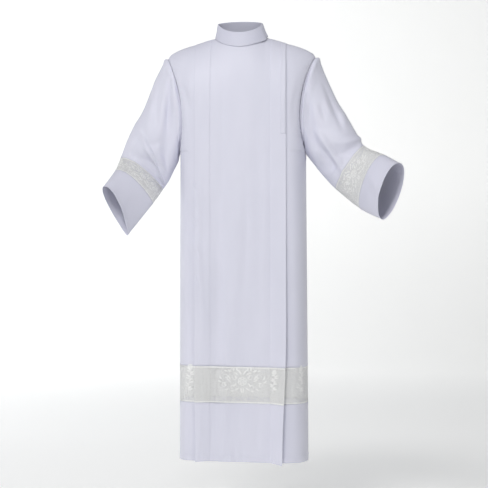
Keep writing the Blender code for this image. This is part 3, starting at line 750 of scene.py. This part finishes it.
def neck_points(turn):
    """The neckline at turns from the centre front towards the wearer's left, with the way out."""
    face = np.where(np.cos(turn) >= 0, -1, 1)
    reach = np.where(face < 0, NECK_REACH[-1], NECK_REACH[1])
    rise = np.where(face < 0, NECK_RISE[-1], NECK_RISE[1])
    bow = np.abs(np.cos(turn))
    y = face * reach * bow
    depth = np.where(face < 0, TORSO[0, 2], TORSO[0, 3])
    x = NECK_HALF * np.sin(turn) + LEAN * (1 - np.abs(y) / depth)
    away = np.stack((np.sin(turn) / NECK_HALF, face * bow / reach, 0 * y), axis=-1)
    return np.stack((x, y, NECK_SIDE_Z + rise * bow**NECK_ROUND), axis=-1), unit(away)


def height_below(x, y):
    """The panel's height under places near the neckline."""
    high_found = []
    for face in (-1, 1):
        low, high = np.zeros(x.shape), np.ones(x.shape)
        for _ in range(HALVINGS):
            middle = (low + high) / 2
            inside = np.abs(body_points(face, x, middle)[..., 1]) < np.abs(y)
            low = np.where(inside, middle, low)
            high = np.where(inside, high, middle)
        high_found.append(body_points(face, x, low)[..., 2])
    return np.where(y < 0, high_found[0], high_found[1])


def around(sizes, turn):
    bow = np.cos(turn)
    end = np.where(bow > 0, sizes["front"], sizes["back"])
    return sizes["side"] + (end - sizes["side"]) * np.abs(bow) ** COLLAR_ROUND


def collar_grid(steps):
    """The collar's section lines all round, from the neck seam over to the free edge."""
    turn = np.linspace(COLLAR_END + COLLAR_GAP, COLLAR_END + 2 * math.pi - COLLAR_GAP, steps)
    point, away = neck_points(turn)
    height = around(COLLAR_HEIGHT, turn)
    along = np.linspace(0, 1, steps)
    lines = []
    for index, (step, share) in enumerate(COLLAR_STAND + COLLAR_FALL):
        free = COLLAR_FLARE * (1 - max(share, 0.0)) if index > len(COLLAR_STAND) else 0.0
        flare = free * smooth(1 - (1 - along) / COLLAR_FLARE_SHARE)
        edge = share < 0 < step
        reach = around(FALL_STEP, turn) if edge else step
        place = point + away * (reach + flare)[:, None]
        place[:, 0] += COLLAR_SWAY * max(share, 0.0)
        place[:, 2] += height * share
        if edge:
            rest = height_below(place[:, 0], place[:, 1]) + FALL_CLEAR
            place[:, 2] = np.maximum(point[:, 2] - around(FALL_DROP, turn), rest)
        lines.append(place)
    return np.array(lines)


def between(lines, steps):
    """Smooth lines between given ones."""
    rows = []
    for k in range(len(lines) - 1):
        picked = [lines[min(max(k + m, 0), len(lines) - 1)] for m in (-1, 0, 1, 2)]
        rows += [catmull(*picked, share) for share in np.arange(steps) / steps]
    return np.array(rows + [lines[-1]])


def grid_normals(points, toward):
    normals = unit(np.cross(np.gradient(points, axis=1), np.gradient(points, axis=0)))
    if np.sum(normals * toward) < 0:
        normals = -normals
    return normals


def collar_piece(surface):
    points = between(collar_grid(COLLAR_COLUMNS), COLLAR_ROWS)
    normals = grid_normals(points, points[-1] - points[0])
    steps = np.linalg.norm(np.diff(points, axis=1, prepend=points[:, :1]), axis=-1)
    across = np.repeat(np.cumsum(steps.mean(axis=0))[None], len(points), axis=0)
    down = lengths_down(points)
    return sheet_mesh("collar_cloth_in_painted_shade", points, across, down, normals, surface, COLLAR_THICK), points


def fly_grid(share):
    """Points down the zip fly at shares across it, with the ways out."""
    z_end = (FLY_END_Z - NECK_SIDE_Z) / (CHEST_Z - NECK_SIDE_Z)
    q = upper_rows(FLY_ROWS)
    q = q[(q < z_end) & (q > FLY_START)]
    place = PLEAT_IN + (PLEAT_OUT - PLEAT_IN) * np.asarray(share)
    place = np.repeat(place[None], len(q), axis=0)
    loose = (place - PLEAT_IN) / (PLEAT_OUT - PLEAT_IN)
    q = np.repeat(q[:, None], place.shape[1], axis=1)
    return pleated(-1, place, np.full(place.shape, 2.0), loose, q, FRONT_CREASES, FLY_OFF)


def fly_piece(surface):
    share = np.linspace(*FLY_SHARE, FLY_COLUMNS)
    points, normals = fly_grid(share)
    across = np.repeat((share * (PLEAT_OUT - PLEAT_IN))[None], len(points), axis=0)
    down = lengths_down(points)
    return sheet_mesh("zip_fly_cloth", points, across, down, normals, surface, FLY_THICK)


def stitches(name, lines, surface):
    """Rows of stitches. A line holds points along the seam and the cloth's ways out there."""
    model = bmesh.new()
    for points, outs in lines:
        along = lengths(points)
        at = STITCH_GAP
        while at + STITCH_LONG < along[-1]:
            start, end = (
                np.array([np.interp(place, along, points[:, k]) for k in range(3)])
                for place in (at, at + STITCH_LONG)
            )
            out = np.array([np.interp(at, along, outs[:, k]) for k in range(3)])
            add_stitch(model, start, end, unit(out))
            at += STITCH_LONG + STITCH_GAP
    return finished(name, model, surface)


def add_stitch(model, start, end, out):
    way = unit(end - start)
    side = unit(np.cross(out, way))
    size = np.linalg.norm(end - start) / 2
    rise = out * STITCH_HALF * STITCH_FLAT
    turn = Matrix((way * size, side * STITCH_HALF, rise)).transposed().to_4x4()
    turn.translation = Vector((start + end) / 2 + rise / 2)
    made = bmesh.ops.create_icosphere(model, subdivisions=1, radius=1.0, matrix=turn)
    for vertex in made["verts"]:
        for face in vertex.link_faces:
            face.smooth = True


# Lace motifs, in metres across and up from a motif's middle: each is a list of strands, and a
# strand is its points with its half width at each
def strand(points, half, start=0.6, end=0.6):
    """A strand of a given half width that narrows to shares of it at its ends."""
    points = np.asarray(points)
    along = np.linspace(0, 1, len(points))
    narrow = np.minimum(start + (1 - start) * along / 0.2, end + (1 - end) * (1 - along) / 0.2)
    return points, half * np.minimum(narrow, 1.0)


def scroll(x, y, size, start, turns, hand, half=0.0021):
    """A spiral that winds in to its eye."""
    steps = int(16 * turns) + 4
    share = np.linspace(0, 1, steps)
    angle = math.radians(start) + hand * 2 * math.pi * turns * share
    reach = size * (1 - 0.86 * share)
    points = np.column_stack((x + reach * np.cos(angle), y + reach * np.sin(angle)))
    return strand(points, half, 0.4, 1.3)


def leaf(x, y, angle, size, bend, half=0.0023):
    """A slim pointed leaf that bends as it goes."""
    share = np.linspace(0, 1, 9)
    way = math.radians(angle) + bend * share
    steps = size / 8
    centre = np.column_stack((x + np.cumsum(np.cos(way)) * steps, y + np.cumsum(np.sin(way)) * steps))
    return centre, half * np.sin(np.pi * share) ** 0.7 + 0.0003


def flower(x, y, size, petals, start=0.0):
    """A ring of open petals round a small eye."""
    made = []
    for k in range(petals):
        angle = math.radians(start) + 2 * math.pi * k / petals
        share = np.linspace(0, 1, 13)
        wide = np.sin(2 * np.pi * share) * size * 0.36
        far = size * (0.30 + 0.70 * np.sin(np.pi * share) ** 0.8)
        points = np.column_stack(
            (
                x + far * math.cos(angle) - wide * math.sin(angle),
                y + far * math.sin(angle) + wide * math.cos(angle),
            )
        )
        made.append(strand(points, 0.0014, 0.8, 0.8))
    made.append(scroll(x, y, size * 0.24, 0, 1.2, 1, 0.0012))
    return made


def mirrored(strands):
    return strands + [(points * (-1, 1), half) for points, half in strands]


def medallion(scale=1.0):
    """A broad spray: a flower between scrolls, with leaves round it."""
    right = []
    for x, y, size, start, turns, hand in (
        (0.024, 0.013, 0.0150, 200, 1.25, -1),
        (0.054, 0.015, 0.0140, 215, 1.25, 1),
        (0.030, -0.018, 0.0130, 130, 1.2, 1),
        (0.060, -0.013, 0.0110, 160, 1.2, -1),
        (0.038, 0.035, 0.0075, 230, 1.1, -1),
    ):
        right.append(scroll(x, y, size, start, turns, hand))
    for x, y, angle, size, bend in (
        (0.003, 0.018, 78, 0.022, -0.8),
        (0.016, 0.008, 30, 0.016, 1.0),
        (0.016, -0.006, -20, 0.015, -1.0),
        (0.050, 0.030, 50, 0.012, -0.9),
        (0.028, 0.032, 70, 0.012, 0.8),
        (0.052, -0.004, -30, 0.012, 0.9),
        (0.026, -0.030, -30, 0.013, 0.8),
        (0.011, 0.016, 60, 0.022, -1.0),
        (0.034, -0.002, 10, 0.020, 0.9),
        (0.036, 0.004, 35, 0.018, 0.9),
        (0.040, 0.026, 80, 0.014, -0.9),
        (0.014, 0.032, 50, 0.014, 0.8),
        (0.066, 0.004, 30, 0.017, 1.0),
        (0.068, -0.004, 0, 0.014, 1.0),
        (0.044, -0.022, -50, 0.015, 0.9),
        (0.010, -0.018, -60, 0.018, 0.8),
        (0.003, -0.020, -80, 0.018, -0.5),
    ):
        right.append(leaf(x, y, angle, size, bend))
    whole = mirrored(right) + flower(0.0, 0.0, 0.014, 6, 30)
    return [(points * scale, half) for points, half in whole]


def sprig(scale=1.0):
    """A tall slim spray: a stem with curled tendrils and leaves on both sides."""
    rise = np.linspace(-0.040, 0.042, 16)
    stem = np.column_stack((0.004 * np.sin(rise * 60), rise))
    made = [strand(stem, 0.0010)]
    for k, y in enumerate((-0.030, -0.018, -0.006, 0.006, 0.018, 0.029)):
        hand = 1 - 2 * (k % 2)
        x = 0.004 * math.sin(y * 60)
        made.append(leaf(x, y, 90 - hand * 52, 0.019 - 0.0012 * k, -0.8 * hand))
        made.append(leaf(x, y + 0.003, 90 - hand * 20, 0.015, -0.9 * hand))
        made.append(scroll(x + hand * 0.012, y + 0.013, 0.0066, 270 - 20 * hand, 1.2, hand, 0.0013))
    made += flower(0.004 * math.sin(2.4), 0.046, 0.008, 6)
    return [(points * scale, half) for points, half in made]


def strands_mesh(name, placed, surface):
    """Raised strands. Each is rows of points for its left edge, ridge and right edge."""
    model = bmesh.new()
    flat = model.loops.layers.uv.new("cloth")
    for rows, along in placed:
        count = len(rows)
        ridge = Vector((rows[:, 1] + rows[:, 2] - rows[:, 0] - rows[:, 3])[count // 2])
        made = bmesh.ops.create_grid(model, x_segments=count - 1, y_segments=3, size=0.5)
        faces = set()
        for vertex in made["verts"]:
            k = round((vertex.co.x + 0.5) * (count - 1))
            m = round((vertex.co.y + 0.5) * 3)
            for loop in vertex.link_loops:
                loop[flat].uv = (along[k], m / 3)
                faces.add(loop.face)
            vertex.co = rows[k][m]
        for face in faces:
            face.smooth = True
            face.normal_update()
        centre = Vector(rows[count // 2, 1])
        middle = min(faces, key=lambda face: (face.calc_center_median() - centre).length)
        if middle.normal.dot(ridge) < 0:
            bmesh.ops.reverse_faces(model, faces=list(faces))
    return finished(name, model, surface)


def braid(line):
    """The scalloped edge of the lace."""
    wave = BRAID_WAVE * np.cos(2 * np.pi * lengths(line) / BRAID_PITCH)
    return line, BRAID_HALF * (1 - BRAID_WAVE + wave)


def band_lengths(face, z):
    """The cloth's real length across a panel at a height, from its middle, for each column."""
    place, layer, share, _ = SECTION.T
    points, _ = pleated(face, place, layer, share, np.full(len(SECTION), q_at(z)))
    return lengths_across(points[None])[0]


def sewn_on(strands, height, place):
    """Rows along each strand's edges and ridge. place gives the points for flat ones and a rise."""
    section = (-1.0, CORD_ROOT), (-CORD_RIDGE, height), (CORD_RIDGE, height), (1.0, CORD_ROOT)
    placed = []
    for points, half in strands:
        way = unit(np.gradient(points, axis=0))
        side = np.column_stack((-way[:, 1], way[:, 0]))
        lines = [place(points + side * (half * across)[:, None], rise) for across, rise in section]
        placed.append((np.stack(lines, axis=1), lengths(points)))
    return placed


def on_band(face, centre_u, centre_z, strands, height=CORD_HEIGHT):
    """Places a motif's strands on a skirt band, at a length across and a height."""
    across = band_lengths(face, MOTIF_Z)

    def place(at, rise):
        columns = [np.interp(centre_u + at[:, 0], across, SECTION[:, k]) for k in range(3)]
        return pleated(face, *columns, q_at(centre_z + at[:, 1]), out=rise)[0]

    return sewn_on(strands, height, place)


def on_sleeve(whole, centre_share, centre_ring, strands, height=CORD_HEIGHT):
    """Places a motif's strands on a sleeve's lace, at a share of the way round and a ring."""
    rings, points, normals, round_length = whole
    across = round_length[nearest_ring(rings, MOTIF_RING)]

    def place(at, rise):
        length = (centre_share * across[-1] + at[:, 0]) % across[-1]
        column = np.interp(length, across, np.arange(len(across)))
        level = np.interp(centre_ring - at[:, 1] / RING_LENGTH, rings, np.arange(len(rings)))
        return grid_at(points, level, column) + grid_at(normals, level, column) * rise

    return sewn_on(strands, height, place)


def nearest_ring(rings, ring):
    return int(np.argmin(np.abs(rings - ring)))


def grid_at(grid, level, column):
    low, left = np.floor(level).astype(int), np.floor(column).astype(int)
    low = np.clip(low, 0, grid.shape[0] - 2)
    left = np.clip(left, 0, grid.shape[1] - 2)
    a, b = (level - low)[:, None], (column - left)[:, None]
    upper = grid[low, left] * (1 - b) + grid[low, left + 1] * b
    lower = grid[low + 1, left] * (1 - b) + grid[low + 1, left + 1] * b
    return upper * (1 - a) + lower * a


# Shader groups
def group(name, inputs, outputs):
    """An empty shader group with its sockets, its input and output nodes, and a node maker."""
    tree = bpy.data.node_groups.new(name, "ShaderNodeTree")
    for label, kind, value in inputs:
        socket = tree.interface.new_socket(label, in_out="INPUT", socket_type=kind)
        if value is not None:
            socket.default_value = value
    for label, kind in outputs:
        tree.interface.new_socket(label, in_out="OUTPUT", socket_type=kind)
    return tree, tree.nodes.new("NodeGroupInput"), tree.nodes.new("NodeGroupOutput")


def math_node(tree, operation, *values):
    node = tree.nodes.new("ShaderNodeMath")
    node.operation = operation
    for k, value in enumerate(values):
        if isinstance(value, (int, float)):
            node.inputs[k].default_value = value
        else:
            tree.links.new(value, node.inputs[k])
    return node.outputs[0]


def scaled(tree, vector, scale):
    node = tree.nodes.new("ShaderNodeVectorMath")
    node.operation = "MULTIPLY"
    tree.links.new(vector, node.inputs[0])
    node.inputs[1].default_value = scale
    return node.outputs[0]


def noise(tree, vector, size, detail=2.0, rough=0.5):
    node = tree.nodes.new("ShaderNodeTexNoise")
    tree.links.new(vector, node.inputs["Vector"])
    node.inputs["Scale"].default_value = size
    node.inputs["Detail"].default_value = detail
    node.inputs["Roughness"].default_value = rough
    return node.outputs["Fac"]


def mapped(tree, value, low, high, to_low, to_high):
    node = tree.nodes.new("ShaderNodeMapRange")
    tree.links.new(value, node.inputs["Value"])
    for label, number in zip(("From Min", "From Max", "To Min", "To Max"), (low, high, to_low, to_high)):
        node.inputs[label].default_value = number
    return node.outputs["Result"]


def weave_group():
    """Warp and weft threads over and under each other. Threads is how many there are a metre."""
    tree, given, result = group(
        "weave",
        (("Cloth", "NodeSocketVector", None), ("Threads", "NodeSocketFloat", 1500.0)),
        (("Height", "NodeSocketFloat"), ("Thread", "NodeSocketFloat")),
    )
    parts = tree.nodes.new("ShaderNodeSeparateXYZ")
    tree.links.new(given.outputs["Cloth"], parts.inputs[0])
    waves = []
    for axis in ("X", "Y"):
        angle = math_node(tree, "MULTIPLY", parts.outputs[axis], given.outputs["Threads"])
        waves.append(math_node(tree, "SINE", math_node(tree, "MULTIPLY", angle, math.pi)))
    over = math_node(tree, "MULTIPLY", *waves)
    side = math_node(tree, "ADD", math_node(tree, "MULTIPLY", over, 0.5), 0.5)
    rounds = [math_node(tree, "ABSOLUTE", wave) for wave in waves]
    both = math_node(tree, "MULTIPLY", *rounds)
    height = math_node(tree, "ADD", side, math_node(tree, "MULTIPLY", both, 0.4))
    tree.links.new(height, result.inputs["Height"])
    tree.links.new(both, result.inputs["Thread"])
    return tree


def drape_group():
    """Broad, soft unevenness of the draped cloth: Height its surface, and Shade its colour, low where the
    broad noise and so Height dip, which is painted shade on the woven cloth.
    """
    tree, given, result = group(
        "drape",
        (("Place", "NodeSocketVector", None),),
        (("Shade", "NodeSocketFloat"), ("Height", "NodeSocketFloat")),
    )
    broad = noise(tree, scaled(tree, given.outputs["Place"], (1.0, 1.0, 0.35)), 9.0, 2.0)
    fine = noise(tree, scaled(tree, given.outputs["Place"], (1.0, 1.0, 0.5)), 55.0, 3.0, 0.55)
    tree.links.new(mapped(tree, broad, 0.3, 0.7, 0.0, 1.0), result.inputs["Shade"])
    height = math_node(tree, "ADD", broad, math_node(tree, "MULTIPLY", fine, 0.35))
    tree.links.new(height, result.inputs["Height"])
    return tree


def net_group():
    """A fine net: Thread is 1 on its threads and 0 in its holes."""
    tree, given, result = group(
        "net",
        (
            ("Cloth", "NodeSocketVector", None),
            ("Mesh", "NodeSocketFloat", 0.0028),
            ("Fill", "NodeSocketFloat", 0.2),
        ),
        (("Thread", "NodeSocketFloat"), ("Height", "NodeSocketFloat")),
    )
    parts = tree.nodes.new("ShaderNodeSeparateXYZ")
    tree.links.new(given.outputs["Cloth"], parts.inputs[0])
    u, v = parts.outputs["X"], parts.outputs["Y"]
    nearest = None
    for turn in (0, 60, 120):
        angle = math.radians(turn)
        line = math_node(
            tree,
            "ADD",
            math_node(tree, "MULTIPLY", u, math.cos(angle)),
            math_node(tree, "MULTIPLY", v, math.sin(angle)),
        )
        cell = math_node(tree, "FRACT", math_node(tree, "DIVIDE", line, given.outputs["Mesh"]))
        off = math_node(tree, "ABSOLUTE", math_node(tree, "SUBTRACT", cell, 0.5))
        nearest = off if nearest is None else math_node(tree, "MINIMUM", nearest, off)
    off = math_node(tree, "SUBTRACT", nearest, given.outputs["Fill"])
    tree.links.new(mapped(tree, off, -0.015, 0.015, 1.0, 0.0), result.inputs["Thread"])
    tree.links.new(math_node(tree, "MULTIPLY", nearest, -1.0), result.inputs["Height"])
    return tree


WEAVE = weave_group()
DRAPE = drape_group()
NET = net_group()


def surface(name, colour, shade, roughness, sheen=0.0):
    """A material with its drape: colour on lit cloth and shade in its hollows. Returns its nodes."""
    made = bpy.data.materials.new(name)
    made.use_nodes = True
    tree = made.node_tree
    shader = tree.nodes["Principled BSDF"]
    shader.inputs["Roughness"].default_value = roughness
    shader.inputs["Sheen Weight"].default_value = sheen
    shader.inputs["Sheen Roughness"].default_value = 0.5
    place = tree.nodes.new("ShaderNodeTexCoord")
    drape = tree.nodes.new("ShaderNodeGroup")
    drape.node_tree = DRAPE
    tree.links.new(place.outputs["Object"], drape.inputs["Place"])
    # Painted shade: the shade colour is mixed in where the drape's noise dips, the hollows of the woven
    # cloth's drape bump; on the net and threads, which take no drape bump, it is uneven tone
    mix = tree.nodes.new("ShaderNodeMix")
    mix.data_type = "RGBA"
    mix.inputs["A"].default_value = (*shade, 1)
    mix.inputs["B"].default_value = (*colour, 1)
    tree.links.new(drape.outputs["Shade"], mix.inputs["Factor"])
    tree.links.new(mix.outputs["Result"], shader.inputs["Base Color"])
    return made, tree, shader, place, drape


def bump(tree, shader, height, distance, strength, before=None):
    node = tree.nodes.new("ShaderNodeBump")
    node.inputs["Distance"].default_value = distance
    node.inputs["Strength"].default_value = strength
    tree.links.new(height, node.inputs["Height"])
    if before is not None:
        tree.links.new(before, node.inputs["Normal"])
    tree.links.new(node.outputs["Normal"], shader.inputs["Normal"])
    return node.outputs["Normal"]


def woven(name, colour, shade, roughness, soft):
    """Plain woven cloth, its threads and its soft drape in the surface."""
    made, tree, shader, place, drape = surface(name, colour, shade, roughness, 0.15)
    weave = tree.nodes.new("ShaderNodeGroup")
    weave.node_tree = WEAVE
    weave.inputs["Threads"].default_value = 1500.0
    tree.links.new(place.outputs["UV"], weave.inputs["Cloth"])
    normal = bump(tree, shader, drape.outputs["Height"], 0.004, soft)
    bump(tree, shader, weave.outputs["Height"], 0.0001, 0.35, normal)
    rough = mapped(tree, weave.outputs["Thread"], 0.0, 1.0, roughness + 0.08, roughness - 0.06)
    tree.links.new(rough, shader.inputs["Roughness"])
    return made


def netting(name, colour, shade, roughness, mesh, fill):
    """Lace net. Fill is half a thread's width as a share of the mesh, fuller where it is figured."""
    made, tree, shader, place, _ = surface(name, colour, shade, roughness)
    net = tree.nodes.new("ShaderNodeGroup")
    net.node_tree = NET
    net.inputs["Mesh"].default_value = mesh
    figure = noise(tree, place.outputs["UV"], 120.0, 1.0)
    tree.links.new(mapped(tree, figure, 0.35, 0.65, fill - 0.08, fill + 0.09), net.inputs["Fill"])
    tree.links.new(place.outputs["UV"], net.inputs["Cloth"])
    tree.links.new(net.outputs["Thread"], shader.inputs["Alpha"])
    bump(tree, shader, net.outputs["Height"], 0.0004, 0.5)
    return made


def corded(name, colour, shade, roughness, twists):
    """Embroidery thread, its strands slanting across each cord."""
    made, tree, shader, place, _ = surface(name, colour, shade, roughness, 0.2)
    wave = tree.nodes.new("ShaderNodeTexWave")
    wave.bands_direction = "DIAGONAL"
    wave.inputs["Scale"].default_value = twists
    wave.inputs["Distortion"].default_value = 0.6
    tree.links.new(scaled(tree, place.outputs["UV"], (1.0, 0.002, 1.0)), wave.inputs["Vector"])
    bump(tree, shader, wave.outputs["Fac"], 0.0003, 0.5)
    return made


def make_surfaces():
    # Each material's second colour is mixed in by the drape: painted shade on the woven cloth, uneven tone on
    # the net and the threads
    cloth = woven("white cloth", (0.740, 0.742, 0.850), (0.700, 0.705, 0.812), 0.50, 0.10)
    # The collar's colours are the body cloth's made darker: painted shade
    collar = woven("collar cloth in painted shade", (0.65, 0.655, 0.765), (0.62, 0.625, 0.735), 0.50, 0.05)
    net = netting("lace net", (0.835, 0.84, 0.84), (0.795, 0.80, 0.80), 0.75, 0.0026, 0.235)
    thread = corded("embroidery thread", (0.98, 0.985, 0.98), (0.93, 0.935, 0.93), 0.55, 700.0)
    stitch = corded("stitch thread", (0.78, 0.78, 0.86), (0.74, 0.74, 0.82), 0.6, 900.0)
    return cloth, collar, net, thread, stitch


# Camera, backdrop and light
CAMERA_TURN = math.radians(5.5)
CAMERA_TARGET = (0.0017, 0.0, -0.687)
CAMERA_FAR = 6.0
VIEW_WIDTH = 488 * 0.0034
FLOOR_Z = -1.66
FLOOR_REACH = 7.5
COVE = 1.5
FLOOR_RUN = 12.5


def place_camera():
    back = Vector((math.sin(CAMERA_TURN), -math.cos(CAMERA_TURN), 0.0))
    data = bpy.data.cameras.new("camera")
    data.sensor_width = 36.0
    data.lens = 36.0 * CAMERA_FAR / VIEW_WIDTH
    data.clip_end = 60.0
    made = bpy.data.objects.new("camera", data)
    bpy.context.scene.collection.objects.link(made)
    made.location = Vector(CAMERA_TARGET) + back * CAMERA_FAR
    made.rotation_euler = (-back).to_track_quat("-Z", "Y").to_euler()
    bpy.context.scene.camera = made


def place_backdrop():
    """A pale floor that curves up into a low wall all round, far outside the camera's place."""
    model = bmesh.new()
    bmesh.ops.create_grid(model, x_segments=96, y_segments=96, size=1.0)
    for vertex in model.verts:
        run = max(abs(vertex.co.x), abs(vertex.co.y)) * FLOOR_RUN
        way = vertex.co.xy.normalized()
        bend = min(max((run - FLOOR_REACH) / COVE, 0.0), math.pi / 2)
        reach = min(run, FLOOR_REACH) + COVE * math.sin(bend)
        rise = COVE * (1 - math.cos(bend)) + max(run - FLOOR_REACH - COVE * math.pi / 2, 0.0)
        vertex.co = (way.x * reach, way.y * reach, FLOOR_Z + rise)
    for face in model.faces:
        face.smooth = True
    made, tree, shader, place, _ = surface("backdrop", (0.94, 0.935, 0.915), (0.925, 0.92, 0.90), 0.9)
    # The backdrop glows as painted light: brighter towards -X, dimmer low down and towards the front
    parts = tree.nodes.new("ShaderNodeSeparateXYZ")
    tree.links.new(place.outputs["Object"], parts.inputs[0])
    left = mapped(tree, parts.outputs["X"], -2.4, 2.7, 1.0, 0.34)
    rise = mapped(tree, parts.outputs["Z"], FLOOR_Z, 1.0, 0.88, 1.0)
    behind = mapped(tree, parts.outputs["Y"], -3.0, 3.0, 0.45, 1.0)
    painted_glow = tree.nodes.new("ShaderNodeMix")
    painted_glow.data_type = "RGBA"
    painted_glow.inputs["A"].default_value = (0.0, 0.0, 0.0, 1)
    painted_glow.inputs["B"].default_value = (0.97, 0.985, 1.0, 1)
    share = math_node(tree, "MULTIPLY", math_node(tree, "MULTIPLY", left, rise), behind)
    tree.links.new(share, painted_glow.inputs["Factor"])
    tree.links.new(painted_glow.outputs["Result"], shader.inputs["Emission Color"])
    shader.inputs["Emission Strength"].default_value = 0.62
    backdrop = finished("backdrop", model, made)


def area_light(name, place, target, size, power, colour):
    data = bpy.data.lights.new(name, "AREA")
    data.shape = "RECTANGLE"
    data.size, data.size_y = size
    data.energy = power
    data.color = colour
    made = bpy.data.objects.new(name, data)
    bpy.context.scene.collection.objects.link(made)
    made.location = place
    made.rotation_euler = (Vector(target) - Vector(place)).to_track_quat("-Z", "Y").to_euler()


def place_lights():
    for name, place, height, size, power, colour in (
        ("key", (-1.0, -5.1, 3.5), -0.5, (1.4, 1.4), 168.0, (1.0, 0.99, 0.98)),
        ("right", (2.6, -3.8, 0.8), -0.4, (1.4, 1.4), 6.0, (0.97, 0.98, 1.0)),
        ("top", (0.0, -0.8, 2.8), -0.3, (3.0, 2.2), 18.0, (1.0, 1.0, 1.0)),
    ):
        area_light(name, place, (0, 0, height), size, power, colour)
    world = bpy.data.worlds.new("studio")
    world.use_nodes = True
    world.node_tree.nodes["Background"].inputs["Color"].default_value = (0.93, 0.95, 1.0, 1)
    world.node_tree.nodes["Background"].inputs["Strength"].default_value = 0.20
    bpy.context.scene.world = world
    bpy.context.scene.view_settings.view_transform = "Standard"


def attach(made, nodes=()):
    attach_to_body(made, "root")
    if nodes:
        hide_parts(*nodes)
    return made


def section_line(face, z, out):
    """A line of stitching right across a panel at a height."""
    count = len(SECTION)
    place, layer, share, _ = SECTION.T
    q = np.full(count, q_at(z))
    return pleated(face, place, layer, share, q, (), out)


def build_skirt(cloth, net, thread, stitch):
    """Front and back, with their lace and borders."""
    made = {}
    lace_z = np.linspace(LACE_TOP_Z, LACE_END_Z, LACE_ROWS)
    turn_z = HEM_Z + HEM_TURN
    high, low = BORDER_ROWS
    border_z = np.concatenate(
        (np.linspace(LACE_END_Z, turn_z + SEAM_INSET, high), np.linspace(turn_z + SEAM_INSET / 2, HEM_Z, low))
    )
    for face, label, creases in ((-1, "front", FRONT_CREASES), (1, "back", BACK_CREASES)):
        body = attach(body_cloth(f"{label}_cloth", face, creases, cloth), (label,))
        lace = skirt_band(f"skirt_net_{label}", face, lace_z, net, None, creases)
        attach(lace, (f"skirt_lace_{label}",))
        border = skirt_band(f"hem_cloth_{label}", face, border_z, cloth, CLOTH_THICK, creases)
        attach(border, (f"hem_border_{label}",))
        motifs = skirt_motifs(face)
        spray = attach(strands_mesh(f"skirt_motifs_{label}", motifs, thread))
        seams = []
        for z, step in (
            (LACE_TOP_Z + SEAM_INSET, 0.0),
            (LACE_END_Z - SEAM_INSET, 0.0),
            (turn_z - SEAM_INSET / 2, HEM_STEP),
        ):
            seams.append(section_line(face, z, STITCH_OUT["skirt"] + step))
        sewn = attach(stitches(f"skirt_stitches_{label}", seams, stitch))
        made[label] = (body, lace, border, spray, sewn)
    return made


def length_at(face, place, layer):
    """The cloth's length from the panel's middle to a place on one of its layers."""
    rows = SECTION[:, 1] == layer
    return np.interp(place, SECTION[rows, 0], band_lengths(face, MOTIF_Z)[rows])


def skirt_motifs(face):
    """The sprays on one side of the skirt's lace, with the braid along both its edges."""
    placed = on_band(face, MEDALLION_PLACE * -face, MOTIF_Z, medallion())
    sprays = [(place, 0, SIDE_SCALE) for place in SIDE_SPRAYS] + [(BAND_SPRAY, 2, BAND_SCALE)]
    for place, layer, scale in sprays:
        across = length_at(face, -place * face, layer)
        placed += on_band(face, across, MOTIF_Z - SPRIG_DROP, sprig(scale))
    end = band_lengths(face, MOTIF_Z)[-1]
    steps = BRAID_STEPS["skirt"]
    line = np.column_stack((np.linspace(-end, end, steps), np.zeros(steps)))
    for z in (LACE_TOP_Z - BRAID_INSET, LACE_END_Z + BRAID_INSET):
        placed += on_band(face, 0.0, z, [braid(line)], BRAID_HEIGHT)
    return placed


def build_sleeves(cloth, net, thread, stitch):
    made = {}
    for side, label in ((-1, "right"), (1, "left")):
        whole = whole_sleeve(side)
        upper = sleeve_piece(f"sleeve_cloth_{label}", whole, 0, LACE_TOP_RING, cloth, CLOTH_THICK)
        attach(upper, (f"sleeve_{label}",))
        lace = sleeve_piece(f"sleeve_net_{label}", whole, LACE_TOP_RING, LACE_END_RING, net, None)
        halves = [f"sleeve_lace_{label}_{half}" for half in ("front", "back")]
        attach(lace, halves)
        cuff = sleeve_piece(f"cuff_cloth_{label}", whole, LACE_END_RING, CUFF_RING, cloth, CLOTH_THICK)
        attach(cuff, (f"cuff_border_{label}",))
        placed = []
        for share in SLEEVE_MEDALLIONS:
            placed += on_sleeve(whole, share, MOTIF_RING, medallion(MEDALLION_SCALE))
        for share in SLEEVE_SPRIGS:
            placed += on_sleeve(whole, share, MOTIF_RING, sprig(SPRIG_SCALE))
        rings, points, normals, round_length = whole
        rim = round_length[nearest_ring(rings, MOTIF_RING)][-1]
        steps = BRAID_STEPS["sleeve"]
        line = np.column_stack((np.linspace(0.0, rim - 0.0005, steps), np.zeros(steps)))
        for ring in BRAID_RINGS:
            placed += on_sleeve(whole, 0.0, ring, [braid(line)], BRAID_HEIGHT)
        spray = attach(strands_mesh(f"sleeve_motifs_{label}", placed, thread))
        seams = []
        for ring in SLEEVE_SEAMS:
            k = nearest_ring(rings, ring)
            rise = STITCH_OUT["sleeve"] + HEM_STEP * (ring > CUFF_TURN_RING)
            seams.append((points[k] + normals[k] * rise, normals[k]))
        sewn = attach(stitches(f"sleeve_stitches_{label}", seams, stitch))
        made[label] = (upper, lace, cuff, spray, sewn)
    return made


def main():
    cloth, collar_cloth_in_painted_shade, net, thread, stitch = make_surfaces()
    place_camera()
    place_backdrop()
    place_lights()
    skirt = build_skirt(cloth, net, thread, stitch)
    sleeves = build_sleeves(cloth, net, thread, stitch)

    collar, points = collar_piece(collar_cloth_in_painted_shade)
    attach(collar, ("collar",))
    away = grid_normals(points, points[-1] - points[0])
    edge = [(points[-4] + away[-4] * STITCH_OUT["collar"], away[-4])]
    fly = attach(fly_piece(cloth), ("zip_fly",))
    for share in (FLY_SHARE[0] + FLY_SEWN, FLY_SHARE[1] - FLY_SEWN):
        line, out = fly_grid(np.array((share,)))
        edge.append((line[:, 0] + out[:, 0] * STITCH_OUT["fly"], out[:, 0]))
    sewn = attach(stitches("collar_stitches", edge, stitch))


main()
